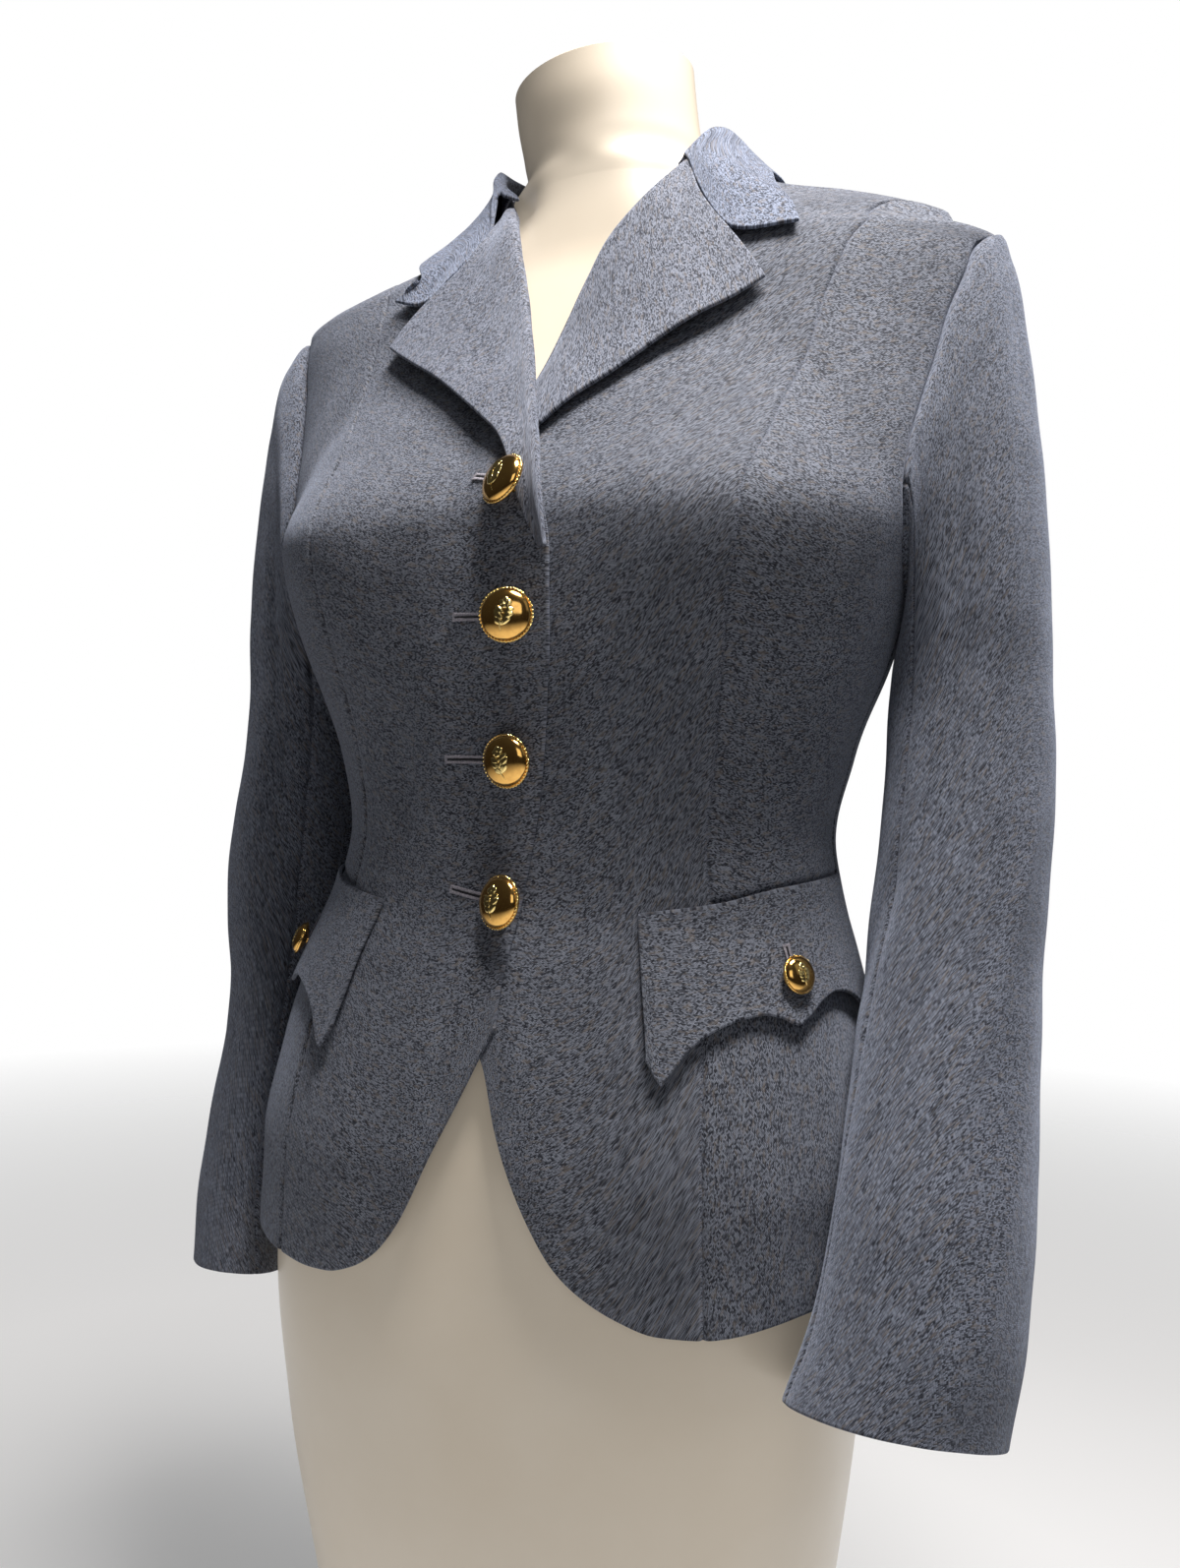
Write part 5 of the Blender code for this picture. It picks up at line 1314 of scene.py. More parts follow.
def cloth_finish(name, tint, twill_turn, twill_share):
    """Heathered worsted twill: light, dark and warm fibres along fine slanting ribs, each float darkened
    towards its edges as painted shade between the yarns.
    """
    use = settings()
    finish = Finish(name)
    place = finish.node("ShaderNodeUVMap", {"uv_map": "Weave"})
    turned = finish.mapping(place, Rotation=(0.0, 0.0, math.radians(twill_turn)))
    across = finish.node("ShaderNodeSeparateXYZ", {}, {"Vector": turned}, 0) / use.yarn_pitch
    down = finish.node("ShaderNodeSeparateXYZ", {}, {"Vector": turned}, 1) / use.yarn_pitch
    slow = finish.noise(place, SHADE_SCALE)
    fibre = finish.noise(place, FIBRE_SCALE, 3.0)
    fleck = finish.noise(finish.mapping(turned, Scale=FLECK_STRETCH), FLECK_SCALE)
    row = down.math("FLOOR")
    float_place = (across + row + fibre * FIBRE_JITTER) / FLOAT_LENGTH
    cell = finish.node("ShaderNodeCombineXYZ", {}, {"X": float_place.math("FLOOR"), "Y": row})
    yarn = finish.node("ShaderNodeTexWhiteNoise", {"noise_dimensions": "2D"}, {"Vector": cell}, 0)
    rib = (float_place.math("FRACT") * math.pi).math("SINE")
    rib = rib * (down.math("FRACT") * math.pi).math("SINE")
    thread = contrast(yarn * YARN_SHARE + fibre * (1.0 - YARN_SHARE), *THREAD_BOUNDS)
    # Painted shade: each float darkens towards its edges where it meets the next yarn
    heather_and_rib_shade = thread * (1.0 - twill_share) + thread * rib * twill_share
    # Tints: the collar's and lapels' lighter ones are painted light, the sleeve's only a little bluer
    light = solid(channel * factor for channel, factor in zip(use.cloth_light, tint))
    dark = solid(channel * factor for channel, factor in zip(use.cloth_dark, tint))
    colour = finish.mix(heather_and_rib_shade, dark, light)
    flecks = contrast(fleck, *FLECK_BOUNDS) * FLECK_SHARE
    colour = finish.mix(flecks, colour, solid(use.cloth_warm))
    colour = finish.mix(contrast(slow, *SHADE_BOUNDS) * SHADE_SHARE, colour, dark)
    finish.set(Base_Color=colour, Roughness=0.82, Specular_IOR_Level=0.25, **NAP)
    finish.bump(rib * RIB_RELIEF + thread * (1.0 - RIB_RELIEF), *CLOTH_BUMP)
    return finish.material


def gold_finish(name):
    """Polished gilt with fine wear; the relief is painted paler as painted highlight and the dome
    between it darker as painted shade.
    """
    finish = Finish(name)
    worn = finish.noise(finish.own_place(), GILT_WEAR_SCALE, 4.0)
    raised = finish.node("ShaderNodeAttribute", {"attribute_name": "raised"}, {}, 2)
    ground = finish.mix(contrast(worn, 0.4, 0.7) * 0.35, solid(settings().gold), GILT_GROUND)
    # Painted light: leaves and rope get the paler gold as painted highlight, the dome between them the
    # darker gold as painted shade
    colour = finish.mix(raised, ground, GILT_RELIEF_PAINTED_HIGHLIGHT)
    finish.set(Base_Color=colour, Metallic=1.0, Roughness=worn * 0.16 + 0.05)
    return finish.material


def form_finish(name):
    """Cream enamel of the dress form, with faint mottling, orange peel and a painted glow that lifts the
    shade on it.
    """
    finish = Finish(name)
    place = finish.own_place()
    mottle = finish.noise(place, MOTTLE_SCALE, 4.0)
    speck = finish.noise(place, ORANGE_PEEL_SCALE)
    cream = settings().form_cream
    worn = solid(channel * factor for channel, factor in zip(cream, ENAMEL_WORN))
    colour = finish.mix(contrast(mottle, 0.35, 0.75) * 0.5, solid(cream), worn)
    finish.set(Base_Color=colour, Roughness=mottle * 0.12 + 0.30)
    finish.set(Coat_Weight=0.20, Coat_Roughness=0.18)
    # Painted light: the enamel glows with its own colour to lift the shade on the form and neck
    finish.set(Emission_Color=colour, Emission_Strength=FORM_PAINTED_GLOW)
    finish.bump(speck, 0.0001, 0.12)
    return finish.material


def steel_finish(name):
    finish = Finish(name)
    stretched = finish.mapping(finish.own_place(), Scale=BRUSH_STRETCH)
    brushed = finish.noise(stretched, BRUSH_SCALE, 4.0)
    colour = finish.mix(brushed, STEEL_DARK, STEEL_LIGHT)
    finish.set(Base_Color=colour, Metallic=1.0, Roughness=brushed * 0.22 + 0.22)
    finish.bump(brushed, 0.0002, 0.15)
    return finish.material


def thread_finish(name):
    """Buttonhole twist: grey-mauve thread with a fine ply."""
    finish = Finish(name)
    ply = finish.noise(finish.own_place(), PLY_SCALE)
    colour = finish.mix(contrast(ply, 0.35, 0.65), TWIST_DARK, TWIST_LIGHT)
    finish.set(Base_Color=colour, Roughness=0.6, Sheen_Weight=0.2)
    finish.bump(ply, 0.0002, 0.4)
    return finish.material


def plain_finish(name, colour, roughness):
    finish = Finish(name)
    finish.set(Base_Color=solid(colour), Roughness=roughness)
    return finish.material


@lru_cache(maxsize=None)
def finish_of(kind):
    """Each finish is made once, the first time that a piece asks for it."""
    if kind in WORSTEDS:
        return cloth_finish(*WORSTEDS[kind])
    makers = {
        "gold": lambda: gold_finish("Gilt"),
        "form": lambda: form_finish("Cream enamel"),
        "steel": lambda: steel_finish("Brushed steel"),
        "thread": lambda: thread_finish("Buttonhole twist"),
        "slit": lambda: plain_finish("Buttonhole slit", SLIT_PAINTED_SHADOW, 0.9),
    }
    return makers[kind]()


def wire(tree, nodes, links):
    """Join sockets of a tree: each end of a link is node.socket, by name or by number."""
    for source, target in links:
        start, outlet = source.split(".")
        end, inlet = target.split(".")
        outlet = int(outlet) if outlet.isdigit() else outlet
        inlet = int(inlet) if inlet.isdigit() else inlet
        tree.links.new(nodes[start].outputs[outlet], nodes[end].inputs[inlet])


def repeat_tree():
    """Geometry Nodes: a rounded thread on every point, laid along and turned out by its own axes."""
    tree = bpy.data.node_groups.new("Thread on points", "GeometryNodeTree")
    sockets = {
        "Geometry": "Geometry", "Length": "Float", "Width": "Float", "Height": "Float",
        "Finish": "Material", "Seed": "Int",
    }
    for label, kind in sockets.items():
        tree.interface.new_socket(label, in_out="INPUT", socket_type="NodeSocket" + kind)
    tree.interface.new_socket("Geometry", in_out="OUTPUT", socket_type="NodeSocketGeometry")
    kinds = {
        "inlet": "NodeGroupInput", "outlet": "NodeGroupOutput", "bead": "GeometryNodeMeshUVSphere",
        "size": "ShaderNodeCombineXYZ", "shape": "GeometryNodeTransform",
        "along": "GeometryNodeInputNamedAttribute", "outward": "GeometryNodeInputNamedAttribute",
        "first": "FunctionNodeAlignRotationToVector", "second": "FunctionNodeAlignRotationToVector",
        "uneven": "FunctionNodeRandomValue", "spots": "GeometryNodeInstanceOnPoints",
        "real": "GeometryNodeRealizeInstances", "smooth": "GeometryNodeSetShadeSmooth",
        "finish": "GeometryNodeSetMaterial",
    }
    nodes = {label: tree.nodes.new(kind) for label, kind in kinds.items()}
    for label, value in (("Segments", BEAD_SIDES), ("Rings", BEAD_RINGS), ("Radius", 0.5)):
        nodes["bead"].inputs[label].default_value = value
    for label in ("along", "outward"):
        nodes[label].data_type = "FLOAT_VECTOR"
        nodes[label].inputs["Name"].default_value = label
    nodes["first"].axis = "X"
    nodes["second"].axis = "Z"
    nodes["second"].pivot_axis = "X"
    nodes["uneven"].data_type = "FLOAT"
    nodes["uneven"].inputs[2].default_value, nodes["uneven"].inputs[3].default_value = UNEVEN
    wire(tree, nodes, (
        ("inlet.Length", "size.X"), ("inlet.Width", "size.Y"), ("inlet.Height", "size.Z"),
        ("bead.Mesh", "shape.Geometry"), ("size.0", "shape.Scale"),
        ("along.Attribute", "first.Vector"), ("first.Rotation", "second.Rotation"),
        ("outward.Attribute", "second.Vector"), ("inlet.Seed", "uneven.Seed"),
        ("inlet.Geometry", "spots.Points"), ("shape.Geometry", "spots.Instance"),
        ("second.Rotation", "spots.Rotation"), ("uneven.1", "spots.Scale"),
        ("spots.Instances", "real.Geometry"), ("real.Geometry", "smooth.Geometry"),
        ("smooth.Geometry", "finish.Geometry"), ("inlet.Finish", "finish.Material"),
        ("finish.Geometry", "outlet.Geometry"),
    ))
    return tree


def repeat(name, spots, along, outward, size, finish, seed):
    """A plain mesh of equal rounded threads, one at each spot."""
    tree = bpy.data.node_groups.get("Thread on points") or repeat_tree()
    mesh = bpy.data.meshes.new(name + "_points")
    mesh.from_pydata([tuple(p) for p in spots], [], [])
    for label, vectors in (("along", along), ("outward", outward)):
        layer = mesh.attributes.new(label, "FLOAT_VECTOR", "POINT")
        layer.data.foreach_set("vector", np.asarray(vectors, float).ravel())
    carrier = new_object(name + "_points", mesh)
    modifier = carrier.modifiers.new("Threads", "NODES")
    modifier.node_group = tree
    wanted = dict(zip(("Length", "Width", "Height"), size), Finish=finish, Seed=seed)
    for socket in tree.interface.items_tree:
        if socket.in_out == "INPUT" and socket.name in wanted:
            modifier[socket.identifier] = wanted[socket.name]
    bpy.context.view_layer.update()
    evaluated = carrier.evaluated_get(bpy.context.evaluated_depsgraph_get())
    result = new_object(name, bpy.data.meshes.new_from_object(evaluated))
    carrier.modifiers.clear()
    bpy.data.objects.remove(carrier)
    return result


def join(name, items):
    """Several finished parts as one piece."""
    for item in bpy.context.selected_objects:
        item.select_set(False)
    for item in items:
        item.select_set(True)
    bpy.context.view_layer.objects.active = items[0]
    bpy.ops.object.join()
    whole = bpy.context.view_layer.objects.active
    whole.name = whole.data.name = name
    return whole


def surface_spot(angle, drop, out):
    """A point on the body's cloth and its outward normal."""
    spot = torso(angle, drop, out)
    return spot, torso(angle, drop, out + 1.0) - spot


def buttonhole(name, stations, seed):
    """A worked buttonhole along the cloth: two rows of thread, a near-black sheet of painted shadow in
    its slit and a bar at its first end.

    Each station is a point of the cloth and its outward normal.
    """
    spots, normals = np.swapaxes(np.array(stations), 0, 1)
    run = unit(spots[-1] - spots[0])
    length = np.linalg.norm(spots[-1] - spots[0])
    shares = np.linspace(0.0, 1.0, len(spots))

    def at(share):
        spot, out = (
            np.array([np.interp(share, shares, values[:, axis]) for axis in range(3)])
            for values in (spots, normals)
        )
        out = unit(out)
        return spot, out, unit(np.cross(out, run))

    count = int(length / (STITCH_WIDTH * STITCH_PACK))
    points, along, outward = [], [], []
    for row in (-1, 1):
        for k in range(count):
            spot, out, side = at((k + 0.5) / count)
            points.append(spot + side * row * HOLE_ROW_OFFSET + out * STITCH_LIFT)
            along.append(side + run * STITCH_SLANT * row)
            outward.append(out)
    spot, out, side = at(0.0)
    for offset in np.linspace(-BAR_HALF, BAR_HALF, int(2 * BAR_HALF / STITCH_WIDTH) + 1):
        points.append(spot - run * BAR_BACK + side * offset + out * STITCH_LIFT)
        along.append(run)
        outward.append(out)
    size = (HOLE_ROW_WIDTH, STITCH_WIDTH, STITCH_HEIGHT)
    rows = repeat(name + "_threads", points, along, outward, size, finish_of("thread"), seed)
    # The slit: a near-black lens of two thin sheets, painted shadow in the cut
    cuts = np.linspace(0.0, 1.0, SLIT_STEPS)
    half = SLIT_HALF * np.sqrt(np.clip(4 * cuts * (1 - cuts), 0.02, 1.0))
    slit_points = []
    for lift in SLIT_LIFTS:
        for row in (-1, 1):
            for share, wide in zip(cuts, half):
                spot, out, side = at(share)
                slit_points.append(spot + side * row * wide + out * lift)
    n = SLIT_STEPS
    quads = []
    for k in range(n - 1):
        quads.append((k, k + 1, n + k + 1, n + k))
        quads.append((2 * n + k + 1, 2 * n + k, 3 * n + k, 3 * n + k + 1))
        quads.append((k + 1, k, 2 * n + k, 2 * n + k + 1))
        quads.append((n + k, n + k + 1, 3 * n + k + 1, 3 * n + k))
    quads.append((0, n, 3 * n, 2 * n))
    quads.append((2 * n - 1, n - 1, 3 * n - 1, 4 * n - 1))
    slit = mesh_object(name + "_slit", slit_points, quads, finish_of("slit"))
    place_piece(join(name, [rows, slit]))


def make_front_buttonholes():
    for seed, hole in enumerate(HOLES):
        stations = []
        for share in np.linspace(0.0, 1.0, HOLE_STATIONS):
            x = hole.from_x + (hole.to_x - hole.from_x) * share
            drop = hole.from_drop + (hole.to_drop - hole.from_drop) * share
            angle = float(angle_at(x, drop))
            out = float(lap_out(-1, x, drop))
            out += float(crease_relief(CREASES["right"], np.array(-angle), np.array(drop * 1000)))
            out += float(ripple(np.array(-angle * RIPPLE_PER_DEGREE), np.array(drop)))
            stations.append(surface_spot(angle, drop, out + CLOTH_SKIN))
        buttonhole(hole.name, stations, seed)


def make_flap_buttonhole(side):
    stations = []
    for drop in np.linspace(FLAP_HOLE_TOP, FLAP_HOLE_BOTTOM, HOLE_STATIONS):
        spot, normal = flap_spot(side, drop)
        stations.append((spot + normal * CLOTH_SKIN, normal))
    buttonhole("buttonhole_flap_" + own_side(side), stations, 10 + side)


def flap_spot(side, drop):
    """A point on the flap's face above its button, with its normal."""
    top = float(waist_drop(FLAP_BUTTON_ANGLE)) - FLAP_TOP_GAP
    lower = float(smooth(FLAP, "drop", FLAP_BUTTON_ANGLE))
    share = (drop - top) / (lower - top)
    return surface_spot(side * FLAP_BUTTON_ANGLE, drop, FLAP_SEAM_OUT + FLAP_FLARE * share)


def dome_height(radius, reach):
    """Height of the button's dome above its seat, reach from the centre."""
    lean = np.arcsin(np.clip(reach / (DOME_SPREAD * radius), 0.0, 1.0))
    return RIM_LIFT + DOME_HEIGHT * radius * np.cos(lean)


def button_body(radius, shank):
    """Points and faces of the turned button: dome, rim bead, cupped back and shank."""
    profile = []
    for k in range(DOME_RINGS + 1):
        lean = 0.5 * math.pi * k / DOME_RINGS
        profile.append((
            DOME_SPREAD * radius * math.sin(lean),
            shank + RIM_LIFT + DOME_HEIGHT * radius * math.cos(lean),
        ))
    for share, height in RIM_PROFILE:
        profile.append((share * radius, shank + height))
    profile.append((SHANK_RADIUS, shank + SHANK_TOP))
    profile.append((SHANK_RADIUS, 0.0))
    points = [(0.0, 0.0, profile[0][1])]
    faces = []
    for reach, height in profile[1:]:
        for k in range(DOME_SIDES):
            turn = 2 * math.pi * k / DOME_SIDES
            points.append((reach * math.cos(turn), reach * math.sin(turn), height))
    rings = len(profile) - 1
    for k in range(DOME_SIDES):
        faces.append((0, 1 + k, 1 + (k + 1) % DOME_SIDES))
    for ring in range(rings - 1):
        for k in range(DOME_SIDES):
            a = 1 + ring * DOME_SIDES + k
            b = 1 + ring * DOME_SIDES + (k + 1) % DOME_SIDES
            faces.append((a, a + DOME_SIDES, b + DOME_SIDES, b))
    faces.append(tuple(1 + (rings - 1) * DOME_SIDES + k for k in range(DOME_SIDES - 1, -1, -1)))
    return points, faces


def leaf_body(radius, shank, leaf):
    """Points and faces of one raised leaf with a midrib groove, bedded in the dome."""
    long_steps, cross_steps = LEAF_STEPS
    cosine, sine = math.cos(math.radians(leaf.turn)), math.sin(math.radians(leaf.turn))
    points = []
    for level in (0, 1):
        for i in range(long_steps + 1):
            s = i / long_steps
            forward = leaf.length * s
            half = leaf.width * math.sin(math.pi * min(max(s, 0.02), 0.98)) ** 0.7
            end = math.sin(math.pi * min(max(s, 0.03), 0.97)) ** 0.4
            for j in range(cross_steps + 1):
                t = 2 * j / cross_steps - 1
                sideways = half * t + LEAF_BEND * leaf.length * math.sin(math.pi * s)
                x = leaf.x + forward * cosine - sideways * sine
                y = leaf.y + forward * sine + sideways * cosine
                groove = LEAF_VEIN_DEPTH * LEAF_RISE * math.exp(-(t / LEAF_VEIN_WIDTH) ** 2)
                rise = (LEAF_RISE * (1 - t * t) ** 0.6 - groove) * end - LEAF_BED
                if level == 1:
                    rise = LEAF_UNDERSIDE
                reach = min(math.hypot(x, y), LEAF_REACH) * radius
                height = float(dome_height(radius, reach)) + rise * radius
                points.append((x * radius, y * radius, shank + height))
    columns = cross_steps + 1
    count = (long_steps + 1) * columns
    faces = []
    for i in range(long_steps):
        for j in range(cross_steps):
            a = i * columns + j
            faces.append((a, a + 1, a + columns + 1, a + columns))
            faces.append((count + a + columns, count + a + columns + 1, count + a + 1, count + a))
    ring = list(range(columns)) + [i * columns + cross_steps for i in range(1, long_steps + 1)]
    ring += [long_steps * columns + j for j in range(cross_steps - 1, -1, -1)]
    ring += [i * columns for i in range(long_steps - 1, 0, -1)]
    for here, there in zip(ring, ring[1:] + ring[:1]):
        faces.append((there, here, here + count, there + count))
    return points, faces


def rope_rim(name, radius, shank):
    """The rim's rope: slanting strands laid one after the other round the button."""
    turns = np.arange(ROPE_TURNS) * 2 * math.pi / ROPE_TURNS
    cosine, sine, level = np.cos(turns), np.sin(turns), np.zeros(ROPE_TURNS)
    reach = ROPE_REACH * radius
    spots = np.stack([reach * cosine, reach * sine, level + shank + ROPE_LIFT], -1)
    twist = np.stack([-sine, cosine, level], -1) + ROPE_TWIST * np.stack([cosine, sine, level], -1)
    outward = np.stack([cosine, sine, level + ROPE_LEAN], -1)
    size = [share * radius for share in ROPE_STRAND]
    return repeat(name + "_rope", spots, twist, outward, size, finish_of("gold"), 3)


def make_button(name, place, normal, radius, tilt, spin):
    """A gilt shank button with a leaf spray inside a rope rim, turned like its solid."""
    sine = abs(math.sin(math.radians(tilt)))
    shank = SHANK_LENGTH + SHANK_TILT_REACH * radius * sine / math.cos(math.radians(tilt))
    foot = GAP + SHANK_FOOT_TILT * SHANK_RADIUS * sine
    body = mesh_object(name + "_body", *button_body(radius, shank), finish_of("gold"))
    body.data.set_sharp_from_angle(angle=math.radians(BUTTON_SHARP))
    parts = [body]
    for k, leaf in enumerate(LEAVES):
        points, faces = leaf_body(radius, shank, leaf)
        parts.append(mesh_object("%s_leaf_%d" % (name, k), points, faces, finish_of("gold")))
    parts.append(rope_rim(name, radius, shank))
    # Mark the relief for the finish's painted highlight; the dome body stays 0 for its painted shade
    for part in parts:
        raised = part.data.attributes.new("raised", "FLOAT", "POINT")
        level = 0.0 if part is body else 1.0
        raised.data.foreach_set("value", np.full(len(part.data.vertices), level))
    whole = join(name + "_gilt", parts)
    facing = Matrix.Rotation(math.radians(tilt), 3, "Z") @ Vector(normal)
    turn = facing.to_track_quat("Z", "Y").to_matrix() @ Matrix.Rotation(math.radians(spin), 3, "Z")
    shift = Matrix.Translation(Vector(place) + Vector(normal) * foot)
    whole.data.transform(shift @ turn.to_4x4())
    place_piece(whole, name)


def make_buttons():
    for button, spin in zip(FRONT_BUTTONS, BUTTON_SPINS):
        angle = float(angle_at(button.x, button.drop))
        out = float(lap_out(-1, button.x, button.drop))
        spot, normal = surface_spot(angle, button.drop, out)
        tilt = max(button.tilt, MOST_TILT)
        make_button(button.name, spot, normal, button.radius, tilt, spin)
    for side in (-1, 1):
        name = "button_flap_" + own_side(side)
        spot, normal = flap_spot(side, FLAP_BUTTON_DROP)
        make_button(name, spot, normal, FLAP_BUTTON_RADIUS, 0.0, FLAP_BUTTON_SPIN * side)


def look_frame():
    """The camera's turn and place, from its own right and up directions."""
    right, up = Vector(CAMERA_RIGHT), Vector(CAMERA_UP)
    back = right.cross(up)
    turn = Matrix((right, up, back)).transposed()
    place = Vector(CAMERA_PLACE) + Vector((0.0, 0.0, SHOULDER_HEIGHT))
    return Matrix.Translation(place) @ turn.to_4x4()


def area_light(lamp, power):
    data = bpy.data.lights.new(lamp.name, "AREA")
    data.shape = "RECTANGLE"
    data.size, data.size_y = lamp.size
    data.energy = power
    data.color = lamp.colour
    item = new_object(lamp.name, data)
    item.location = lamp.place
    toward = Vector(lamp.target) - Vector(lamp.place)
    item.rotation_euler = toward.to_track_quat("-Z", "Y").to_euler()


def floor_finish():
    """Pale studio paper that fades out well away from the stand."""
    finish = Finish("Studio paper")
    finish.set(Base_Color=FLOOR_GREY, Roughness=0.95)
    finish.set(Emission_Color=WHITE, Emission_Strength=FLOOR_GLOW)
    length = {"operation": "LENGTH"}
    away = finish.node("ShaderNodeVectorMath", length, {0: finish.own_place()}, 1)
    finish.set(Alpha=1.0 - contrast(away, FLOOR_FADE_START, FLOOR_RADIUS))
    return finish.material


def make_world():
    """White for the camera; a dim room, darker low down, for what the pieces reflect."""
    world = bpy.data.worlds.new("Studio")
    world.use_nodes = True
    tree = world.node_tree
    kinds = {
        "white": "ShaderNodeBackground", "path": "ShaderNodeLightPath", "choose": "ShaderNodeMixShader",
        "place": "ShaderNodeTexCoord", "parts": "ShaderNodeSeparateXYZ",
        "height": "ShaderNodeMapRange", "tone": "ShaderNodeMix",
    }
    nodes = {label: tree.nodes.new(kind) for label, kind in kinds.items()}
    nodes.update(room=tree.nodes["Background"], out=tree.nodes["World Output"])
    nodes["room"].inputs["Strength"].default_value = settings().room_light
    nodes["white"].inputs["Color"].default_value = WHITE
    for label, value in zip(("From Min", "From Max"), ROOM_HEIGHTS):
        nodes["height"].inputs[label].default_value = value
    nodes["tone"].data_type = "RGBA"
    nodes["tone"].inputs[6].default_value = ROOM_LOW
    nodes["tone"].inputs[7].default_value = ROOM_HIGH
    wire(tree, nodes, (
        ("place.Generated", "parts.0"), ("parts.Z", "height.Value"), ("height.Result", "tone.0"),
        ("tone.2", "room.Color"), ("path.Is Camera Ray", "choose.0"), ("room.0", "choose.1"),
        ("white.0", "choose.2"), ("choose.0", "out.Surface"),
    ))
    bpy.context.scene.world = world


def make_stage():
    """Pale floor, soft lamps, the room and the camera."""
    shape = bmesh.new()
    bmesh.ops.create_circle(shape, cap_ends=True, segments=FLOOR_SIDES, radius=FLOOR_RADIUS)
    mesh = bpy.data.meshes.new("studio_floor")
    shape.to_mesh(mesh)
    shape.free()
    mesh.materials.append(floor_finish())
    new_object("studio_floor", mesh)
    make_world()
    for lamp in LAMPS:
        area_light(lamp, getattr(settings(), lamp.setting))
    data = bpy.data.cameras.new("camera")
    data.sensor_width = SENSOR_WIDTH
    data.lens = CAMERA_LENS
    data.clip_start = NEAR_CLIP
    camera = new_object("camera", data)
    camera.matrix_world = look_frame()
    bpy.context.scene.camera = camera
    bpy.context.scene.view_settings.view_transform = "Standard"


class JacketSettings(bpy.types.PropertyGroup):
    """Sizes, colours and lights that a user of the jacket may change."""

    cloth_step: FloatProperty(
        name="Cloth step", description="Distance between lines of the cloth's mesh",
        default=0.0036, min=0.002, max=0.01, subtype="DISTANCE", unit="LENGTH", precision=4,
    )
    cloth_wall: FloatProperty(
        name="Cloth wall", description="Thickness of the cloth with what stiffens it",
        default=WALL, min=0.001, max=0.003, subtype="DISTANCE", unit="LENGTH", precision=4,
    )
    seam_depth: FloatProperty(
        name="Seam depth", description="How far the cloth dips at a pressed seam",
        default=0.0013, min=0.0, max=0.002, subtype="DISTANCE", unit="LENGTH", precision=4,
    )
    crease_strength: FloatProperty(
        name="Crease strength", description="Height of the hand-placed creases, as a share",
        default=1.0, min=0.0, max=2.0, subtype="FACTOR",
    )
    yarn_pitch: FloatProperty(
        name="Yarn pitch", description="Distance between the cloth's yarns",
        default=0.0005, min=0.0003, max=0.003, subtype="DISTANCE", unit="LENGTH", precision=5,
    )
    cloth_light: FloatVectorProperty(
        name="Light fibre", description="Colour of the cloth's lighter fibres",
        default=(0.222, 0.240, 0.288), size=3, min=0.0, max=1.0, subtype="COLOR",
    )
    cloth_dark: FloatVectorProperty(
        name="Dark fibre", description="Colour of the cloth's darker fibres",
        default=(0.012, 0.013, 0.019), size=3, min=0.0, max=1.0, subtype="COLOR",
    )
    cloth_warm: FloatVectorProperty(
        name="Warm fibre", description="Colour of the few warm flecks in the cloth",
        default=(0.160, 0.135, 0.115), size=3, min=0.0, max=1.0, subtype="COLOR",
    )
    gold: FloatVectorProperty(
        name="Gilt", description="Colour of the buttons' polished ground",
        default=(0.86, 0.50, 0.14), size=3, min=0.0, max=1.0, subtype="COLOR",
    )
    form_cream: FloatVectorProperty(
        name="Form cream", description="Colour of the dress form's enamel",
        default=(0.60, 0.53, 0.43), size=3, min=0.0, max=1.0, subtype="COLOR",
    )
    room_light: FloatProperty(
        name="Room light", description="Strength of the light from all round",
        default=0.05, min=0.0, max=3.0,
    )
    key_light: FloatProperty(
        name="Key light", description="Power of the lamp above the shoulders",
        default=37.0, min=0.0, max=500.0, subtype="POWER", unit="POWER",
    )
    fill_light: FloatProperty(
        name="Fill light", description="Power of the wide lamp in front",
        default=2.5, min=0.0, max=500.0, subtype="POWER", unit="POWER",
    )
    rim_light: FloatProperty(
        name="Side light", description="Power of the lamp beside the wearer's left arm",
        default=0.8, min=0.0, max=500.0, subtype="POWER", unit="POWER",
    )


class JACKET_OT_stage(bpy.types.Operator):
    """Make the studio floor, lamps and camera"""

    bl_idname = "jacket.stage"
    bl_label = "Studio"

    def execute(self, context):
        make_stage()
        return {"FINISHED"}


class JACKET_OT_form(bpy.types.Operator):
    """Make the dress form and finish its stand"""

    bl_idname = "jacket.form"
    bl_label = "Dress form"

    def execute(self, context):
        make_form(finish_of("form"))
        for node in ("stand_post", "stand_base"):
            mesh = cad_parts[node].data
            mesh.materials.clear()
            mesh.materials.append(finish_of("steel"))
        return {"FINISHED"}


class JACKET_OT_body(bpy.types.Operator):
    """Make the fronts, side fronts and backs"""

    bl_idname = "jacket.body"
    bl_label = "Body panels"

    def execute(self, context):
        for side in (-1, 1):
            make_front(side, finish_of("body"))
            make_side_front(side, finish_of("body"))
            make_back(side, finish_of("body"))
        return {"FINISHED"}


class JACKET_OT_sleeves(bpy.types.Operator):
    """Make the two-piece set-in sleeves"""

    bl_idname = "jacket.sleeves"
    bl_label = "Sleeves"

    def execute(self, context):
        make_sleeve(1, SLEEVE_LEFT, finish_of("sleeve"))
        make_sleeve(-1, SLEEVE_RIGHT, finish_of("sleeve"))
        return {"FINISHED"}


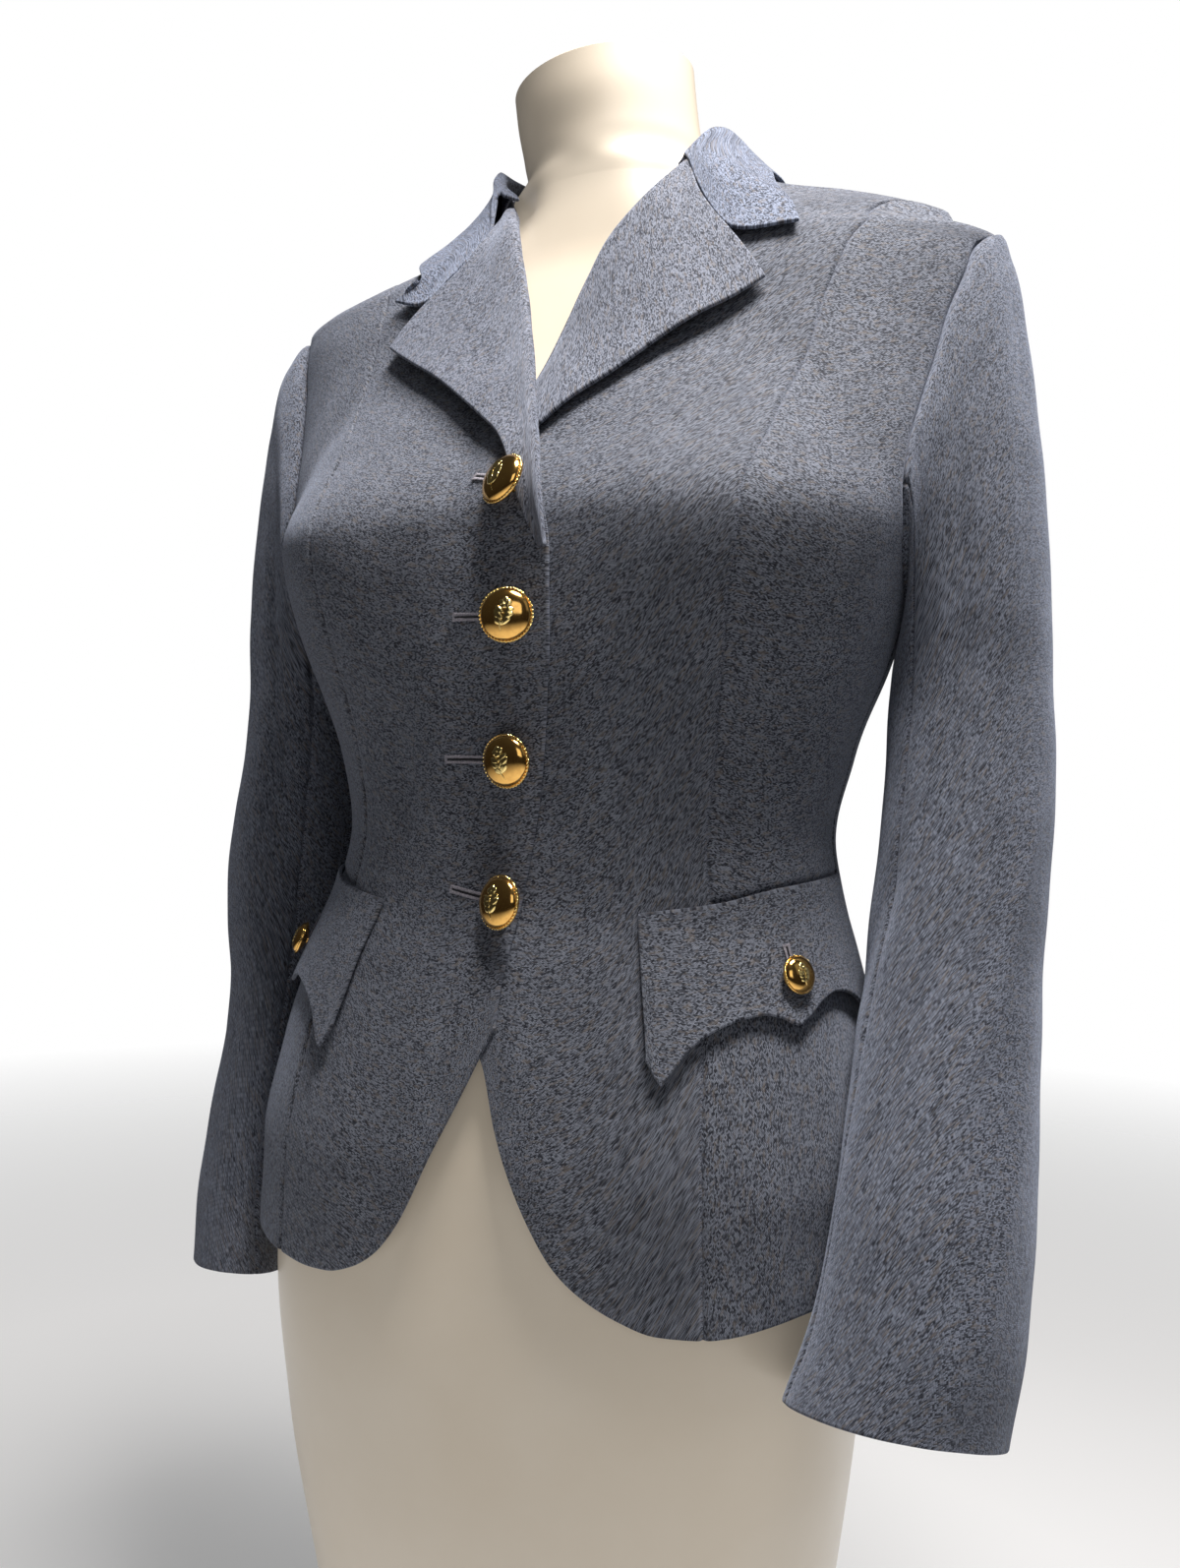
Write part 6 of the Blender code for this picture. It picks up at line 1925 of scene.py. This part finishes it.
class JACKET_OT_collar(bpy.types.Operator):
    """Make the collar and both lapels"""

    bl_idname = "jacket.collar"
    bl_label = "Collar and lapels"

    def execute(self, context):
        make_collar(finish_of("collar"))
        for side in (-1, 1):
            make_lapel(side, finish_of("lapel"))
        return {"FINISHED"}


class JACKET_OT_flaps(bpy.types.Operator):
    """Make the pointed pocket flaps"""

    bl_idname = "jacket.flaps"
    bl_label = "Pocket flaps"

    def execute(self, context):
        for side in (-1, 1):
            make_flap(side, finish_of("body"))
        return {"FINISHED"}


class JACKET_OT_buttonholes(bpy.types.Operator):
    """Work the buttonholes of the front and the flaps"""

    bl_idname = "jacket.buttonholes"
    bl_label = "Buttonholes"

    def execute(self, context):
        make_front_buttonholes()
        for side in (-1, 1):
            make_flap_buttonhole(side)
        return {"FINISHED"}


class JACKET_OT_buttons(bpy.types.Operator):
    """Make the gilt buttons"""

    bl_idname = "jacket.buttons"
    bl_label = "Buttons"

    def execute(self, context):
        make_buttons()
        return {"FINISHED"}


OPERATORS = (
    JACKET_OT_stage, JACKET_OT_form, JACKET_OT_body, JACKET_OT_sleeves, JACKET_OT_collar,
    JACKET_OT_flaps, JACKET_OT_buttonholes, JACKET_OT_buttons,
)


class JACKET_PT_panel(bpy.types.Panel):
    """The jacket's settings and its pieces"""

    bl_label = "Uniform jacket"
    bl_idname = "JACKET_PT_panel"
    bl_space_type = "VIEW_3D"
    bl_region_type = "UI"
    bl_category = "Jacket"

    def draw(self, context):
        for label in JacketSettings.__annotations__:
            self.layout.prop(context.scene.jacket, label)
        for operator in OPERATORS:
            self.layout.operator(operator.bl_idname)


CLASSES = (JacketSettings,) + OPERATORS + (JACKET_PT_panel,)


def register():
    for item in CLASSES:
        bpy.utils.register_class(item)
    bpy.types.Scene.jacket = PointerProperty(type=JacketSettings)


def unregister():
    del bpy.types.Scene.jacket
    for item in reversed(CLASSES):
        bpy.utils.unregister_class(item)


def main():
    register()
    bpy.ops.jacket.stage()
    bpy.ops.jacket.form()
    bpy.ops.jacket.body()
    bpy.ops.jacket.sleeves()
    bpy.ops.jacket.collar()
    bpy.ops.jacket.flaps()
    bpy.ops.jacket.buttonholes()
    bpy.ops.jacket.buttons()


if __name__ == "__main__":
    main()
